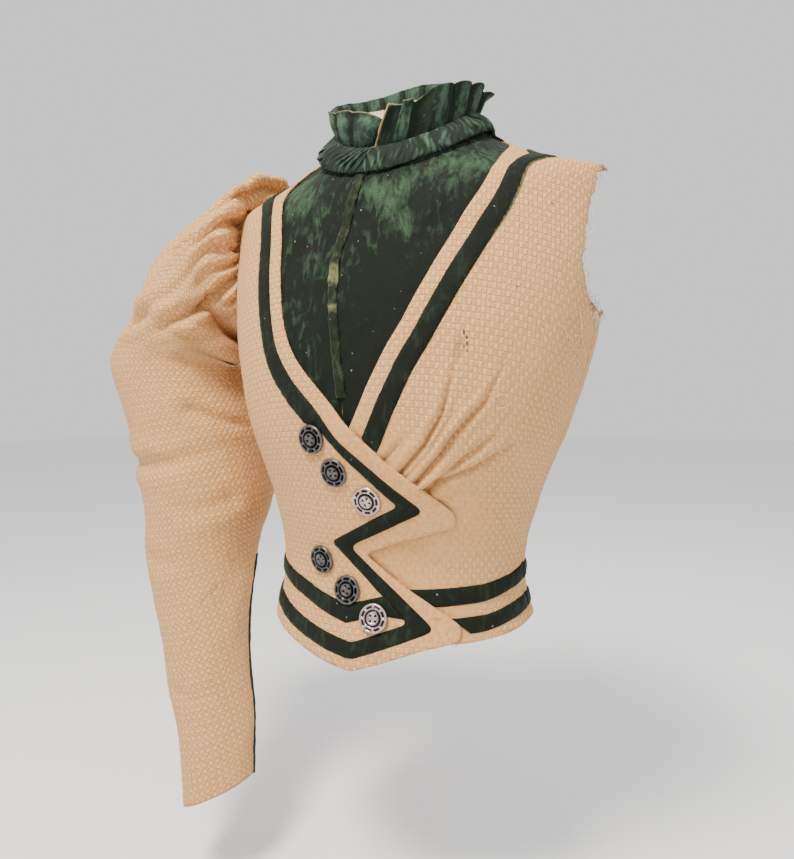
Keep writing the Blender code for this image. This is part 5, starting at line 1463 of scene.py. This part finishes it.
def spinThread(mesh, points, radius):
    # A thread drawn out along a line, thinner at its end
    ring = bmesh.ops.create_circle(mesh, segments=4, radius=radius)["verts"]
    facing = (points[1] - points[0]).to_track_quat("Z", "Y").to_matrix()
    bmesh.ops.rotate(mesh, verts=ring, matrix=facing)
    bmesh.ops.translate(mesh, verts=ring, vec=points[0])
    edges = list(dict.fromkeys(edge for vertex in ring for edge in vertex.link_edges))
    for a, b in zip(points[:-1], points[1:]):
        made = bmesh.ops.extrude_edge_only(mesh, edges=edges)["geom"]
        edges = [part for part in made if isinstance(part, bmesh.types.BMEdge)]
        ring = [part for part in made if isinstance(part, bmesh.types.BMVert)]
        bmesh.ops.translate(mesh, verts=ring, vec=b - a)
    bmesh.ops.contextual_create(mesh, geom=edges)


def makeFraying():
    draw = np.random.default_rng(7)
    mesh = bmesh.new()
    radius = rawArmhole["threadRadius"]
    # Short threads all round the raw edge
    for k in range(rawArmhole["threads"]):
        fore = k % 2 == 0
        share = draw.uniform(0.03, 1.0 if fore else 0.9)
        girth, level = armholePoint(1, np.array([share]), fore)
        away = towardsHole(girth, level)[0]
        long = rawArmhole["threadLength"] * draw.uniform(0.35, 1.0) ** 2
        bend = draw.uniform(-1.2, 1.2)
        rise = draw.uniform(-0.3, 0.9)
        points = []
        for t in np.linspace(0, 1, 6):
            turn = bend * t
            step = np.array([away[0] * cos(turn) - away[1] * sin(turn), away[0] * sin(turn) + away[1] * cos(turn)])
            spot = np.array([girth[0], level[0]]) + step * long * t - away * 0.0012
            points.append(Vector(pattern.drape(spot[0], min(spot[1], -0.0005), cloth["thick"] + rise * long * t * t)))
        spinThread(mesh, points, radius * draw.uniform(0.7, 1.3))
    # A few at the hem, and longer ones lying on the cloth
    for girth, level in rawArmhole["hem"]:
        points = []
        for t in np.linspace(0, 1, 5):
            spot = girth + 0.003 * t * t * draw.uniform(-1, 1), level + 0.0014 - draw.uniform(0.003, 0.006) * t
            points.append(Vector(pattern.drape(spot[0], spot[1], cloth["thick"] + 0.0008 * sin(2 * t))))
        spinThread(mesh, points, radius)
    for line in rawArmhole["looseEnds"]:
        spots = np.array(rounded(line, 5))
        lifted = cloth["thick"] + 0.0009 + 0.0006 * np.sin(np.linspace(0, 9, len(spots)))
        lifted += 0.0003 * (spots[0][0] < 0)     # over the lap
        points = [Vector(point) for point in pattern.drape(spots[:, 0], spots[:, 1], lifted)]
        spinThread(mesh, points, radius)
    bmesh.ops.recalc_face_normals(mesh, faces=mesh.faces)
    flat = np.array([(v.co.y, v.co.z) for v in mesh.verts])
    layGrain(mesh, flat[:, 0], flat[:, 1])
    addPiece("frayedThreads", mesh, [frayThread], [], "tan_cloth")


makeFraying()
print("raw edge frayed")


# Buttons: concentric rings with bars across them

buttons = {
    "radius": 0.0120, "height": 0.0036, "sides": 96, "bars": 8,
    "holes": (0.14, 0.34), "innerGroove": (0.46, 0.61), "outerGroove": (0.70, 0.86),     # shares of the radius
    "places": ((-0.0285, -0.2675), (-0.0095, -0.2935), (0.0175, -0.3155),
               (-0.0290, -0.3695), (-0.0030, -0.3930), (0.0215, -0.4135)),
    "bright": (3, 6),
    "profile": ((0, 0), (0.86, 0), (1.0, 0.28), (1.0, 0.50), (0.95, 0.78), (0.88, 0.82), (0.82, 0.60),
                (0.76, 0.52), (0.70, 0.74), (0.63, 0.80), (0.57, 0.62), (0.51, 0.56), (0.46, 0.84), (0.38, 0.92),
                (0.31, 0.74), (0.25, 0.66), (0.18, 0.88), (0.10, 0.80), (0, 0.70)),
}


def makeButtons():
    r, h = buttons["radius"], buttons["height"]
    for number, place in enumerate(buttons["places"], 1):
        mesh = bmesh.new()
        points = [mesh.verts.new((x * r, 0, z * h)) for x, z in buttons["profile"]]
        edges = [mesh.edges.new(pair) for pair in zip(points[:-1], points[1:])]
        bmesh.ops.spin(mesh, geom=points + edges, cent=(0, 0, 0), axis=(0, 0, 1), angle=2 * pi,
                       steps=buttons["sides"], use_merge=True)
        bmesh.ops.remove_doubles(mesh, verts=mesh.verts, dist=1e-5)
        bmesh.ops.recalc_face_normals(mesh, faces=mesh.faces)
        pierceButton(mesh)
        flat = np.array([(v.co.x, v.co.y) for v in mesh.verts])
        layGrain(mesh, flat[:, 0] + number * 0.05, flat[:, 1])
        low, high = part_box(f"button_{number}")
        girth, level = np.array([place]).T
        facing = Vector(pattern.outward(girth, level)[0])
        foot = Vector(pattern.drape(girth, level, np.zeros(1))[0])
        middle = (low + high) / 2
        centre = foot + facing * ((middle - foot).dot(facing) - h / 2)
        spin = Matrix.Rotation(radians(23 * number), 4, "Z")
        mesh.transform(Matrix.Translation(centre) @ facing.to_track_quat("Z", "Y").to_matrix().to_4x4() @ spin)
        finish = brightMetal if number in buttons["bright"] else gunMetal
        addPiece(f"button{number}", mesh, [finish], [f"button_{number}"], "button_metal")


def pierceButton(mesh):
    # Bars bridge the outer groove between the rings, and four holes are punched round the middle. The grooves and
    # holes are darkened, as grime and as painted shade of their depth
    radius, height = buttons["radius"], buttons["height"]
    grimeAndShade = []
    for vertex in mesh.verts:
        away = np.hypot(vertex.co.x, vertex.co.y) / radius
        turned = np.arctan2(vertex.co.y, vertex.co.x)
        onFace = vertex.co.z > 0.4 * height
        ring, inner, outer = (onFace and low < away < high for low, high in
                              (buttons["holes"], buttons["innerGroove"], buttons["outerGroove"]))
        bar = outer and np.cos(buttons["bars"] * turned) > 0.86
        holeAndShade = ring and np.cos(4 * turned) > 0.35
        vertex.co.z += (0.22 * bar - 0.35 * holeAndShade) * height
        # Grime and painted shade in the grooves and holes
        grimeAndShade.append(float(holeAndShade or inner or outer and not bar))
    paint(mesh, "grimeAndShade", grimeAndShade)


makeButtons()
print("buttons sewn on")


# Camera, floor and lights

studio = {
    "yaw": radians(27), "pitch": radians(2.3), "roll": radians(-0.5),
    "target": (-0.011, 0.0, -0.265), "distance": 0.640, "lens": 28.67, "sensor": 36,
    "floor": -0.70, "floorSize": 8, "floorColour": (0.92, 0.92, 0.92), "room": (0.97, 0.97, 0.98), "roomLight": 0.98,
    # Lights: name, place, aim, size, power, colour
    "lights": (
        ("window", (-0.12, -1.05, 1.30), (0.02, 0, -0.18), 0.55, 62, (1.0, 0.95, 0.87)),
        ("fill", (1.6, -1.0, 0.2), (0, 0, -0.25), 1.4, 3, (0.95, 0.97, 1.0)),
        ("behind", (0.3, 1.6, 1.2), (0, 0, -0.2), 1.2, 10, (1, 1, 1)),
    ),
}


def setCamera():
    yaw, pitch, roll = studio["yaw"], studio["pitch"], studio["roll"]
    back = Vector((sin(yaw) * cos(pitch), -cos(yaw) * cos(pitch), sin(pitch)))
    right = Vector((cos(yaw), sin(yaw), 0))
    up = back.cross(right)
    turnedRight = right * cos(roll) + up * sin(roll)
    turnedUp = up * cos(roll) - right * sin(roll)
    lens = bpy.data.cameras.new("camera")
    lens.sensor_fit = "VERTICAL"
    lens.sensor_height = studio["sensor"]
    lens.lens = studio["lens"]
    lens.clip_start = 0.01
    camera = bpy.data.objects.new("camera", lens)
    place = Matrix((turnedRight, turnedUp, back)).transposed().to_4x4()
    place.translation = Vector(studio["target"]) + back * studio["distance"]
    camera.matrix_world = place
    bpy.context.collection.objects.link(camera)
    bpy.context.scene.camera = camera


def addLight(name, place, aim, size, power, colour):
    lamp = bpy.data.lights.new(name, "AREA")
    lamp.shape = "DISK"
    lamp.size = size
    lamp.energy = power
    lamp.color = colour
    light = bpy.data.objects.new(name, lamp)
    light.location = place
    light.rotation_euler = (Vector(aim) - Vector(place)).to_track_quat("-Z", "Y").to_euler()
    bpy.context.collection.objects.link(light)


def setStudio():
    mesh = bmesh.new()
    bmesh.ops.create_grid(mesh, x_segments=1, y_segments=1, size=studio["floorSize"])
    bmesh.ops.translate(mesh, verts=mesh.verts, vec=(0, 0, studio["floor"]))
    data = bpy.data.meshes.new("floor")
    mesh.to_mesh(data)
    mesh.free()
    data.materials.append(Dye("pale floor", studio["floorColour"], 0.9).material)
    floor = bpy.data.objects.new("floor", data)
    bpy.context.collection.objects.link(floor)
    world = bpy.data.worlds.new("pale room")
    world.use_nodes = True
    background = world.node_tree.nodes["Background"]
    background.inputs[0].default_value = (*studio["room"], 1)
    background.inputs[1].default_value = studio["roomLight"]
    bpy.context.scene.world = world
    for light in studio["lights"]:
        addLight(*light)


setCamera()
setStudio()
print("studio lit")
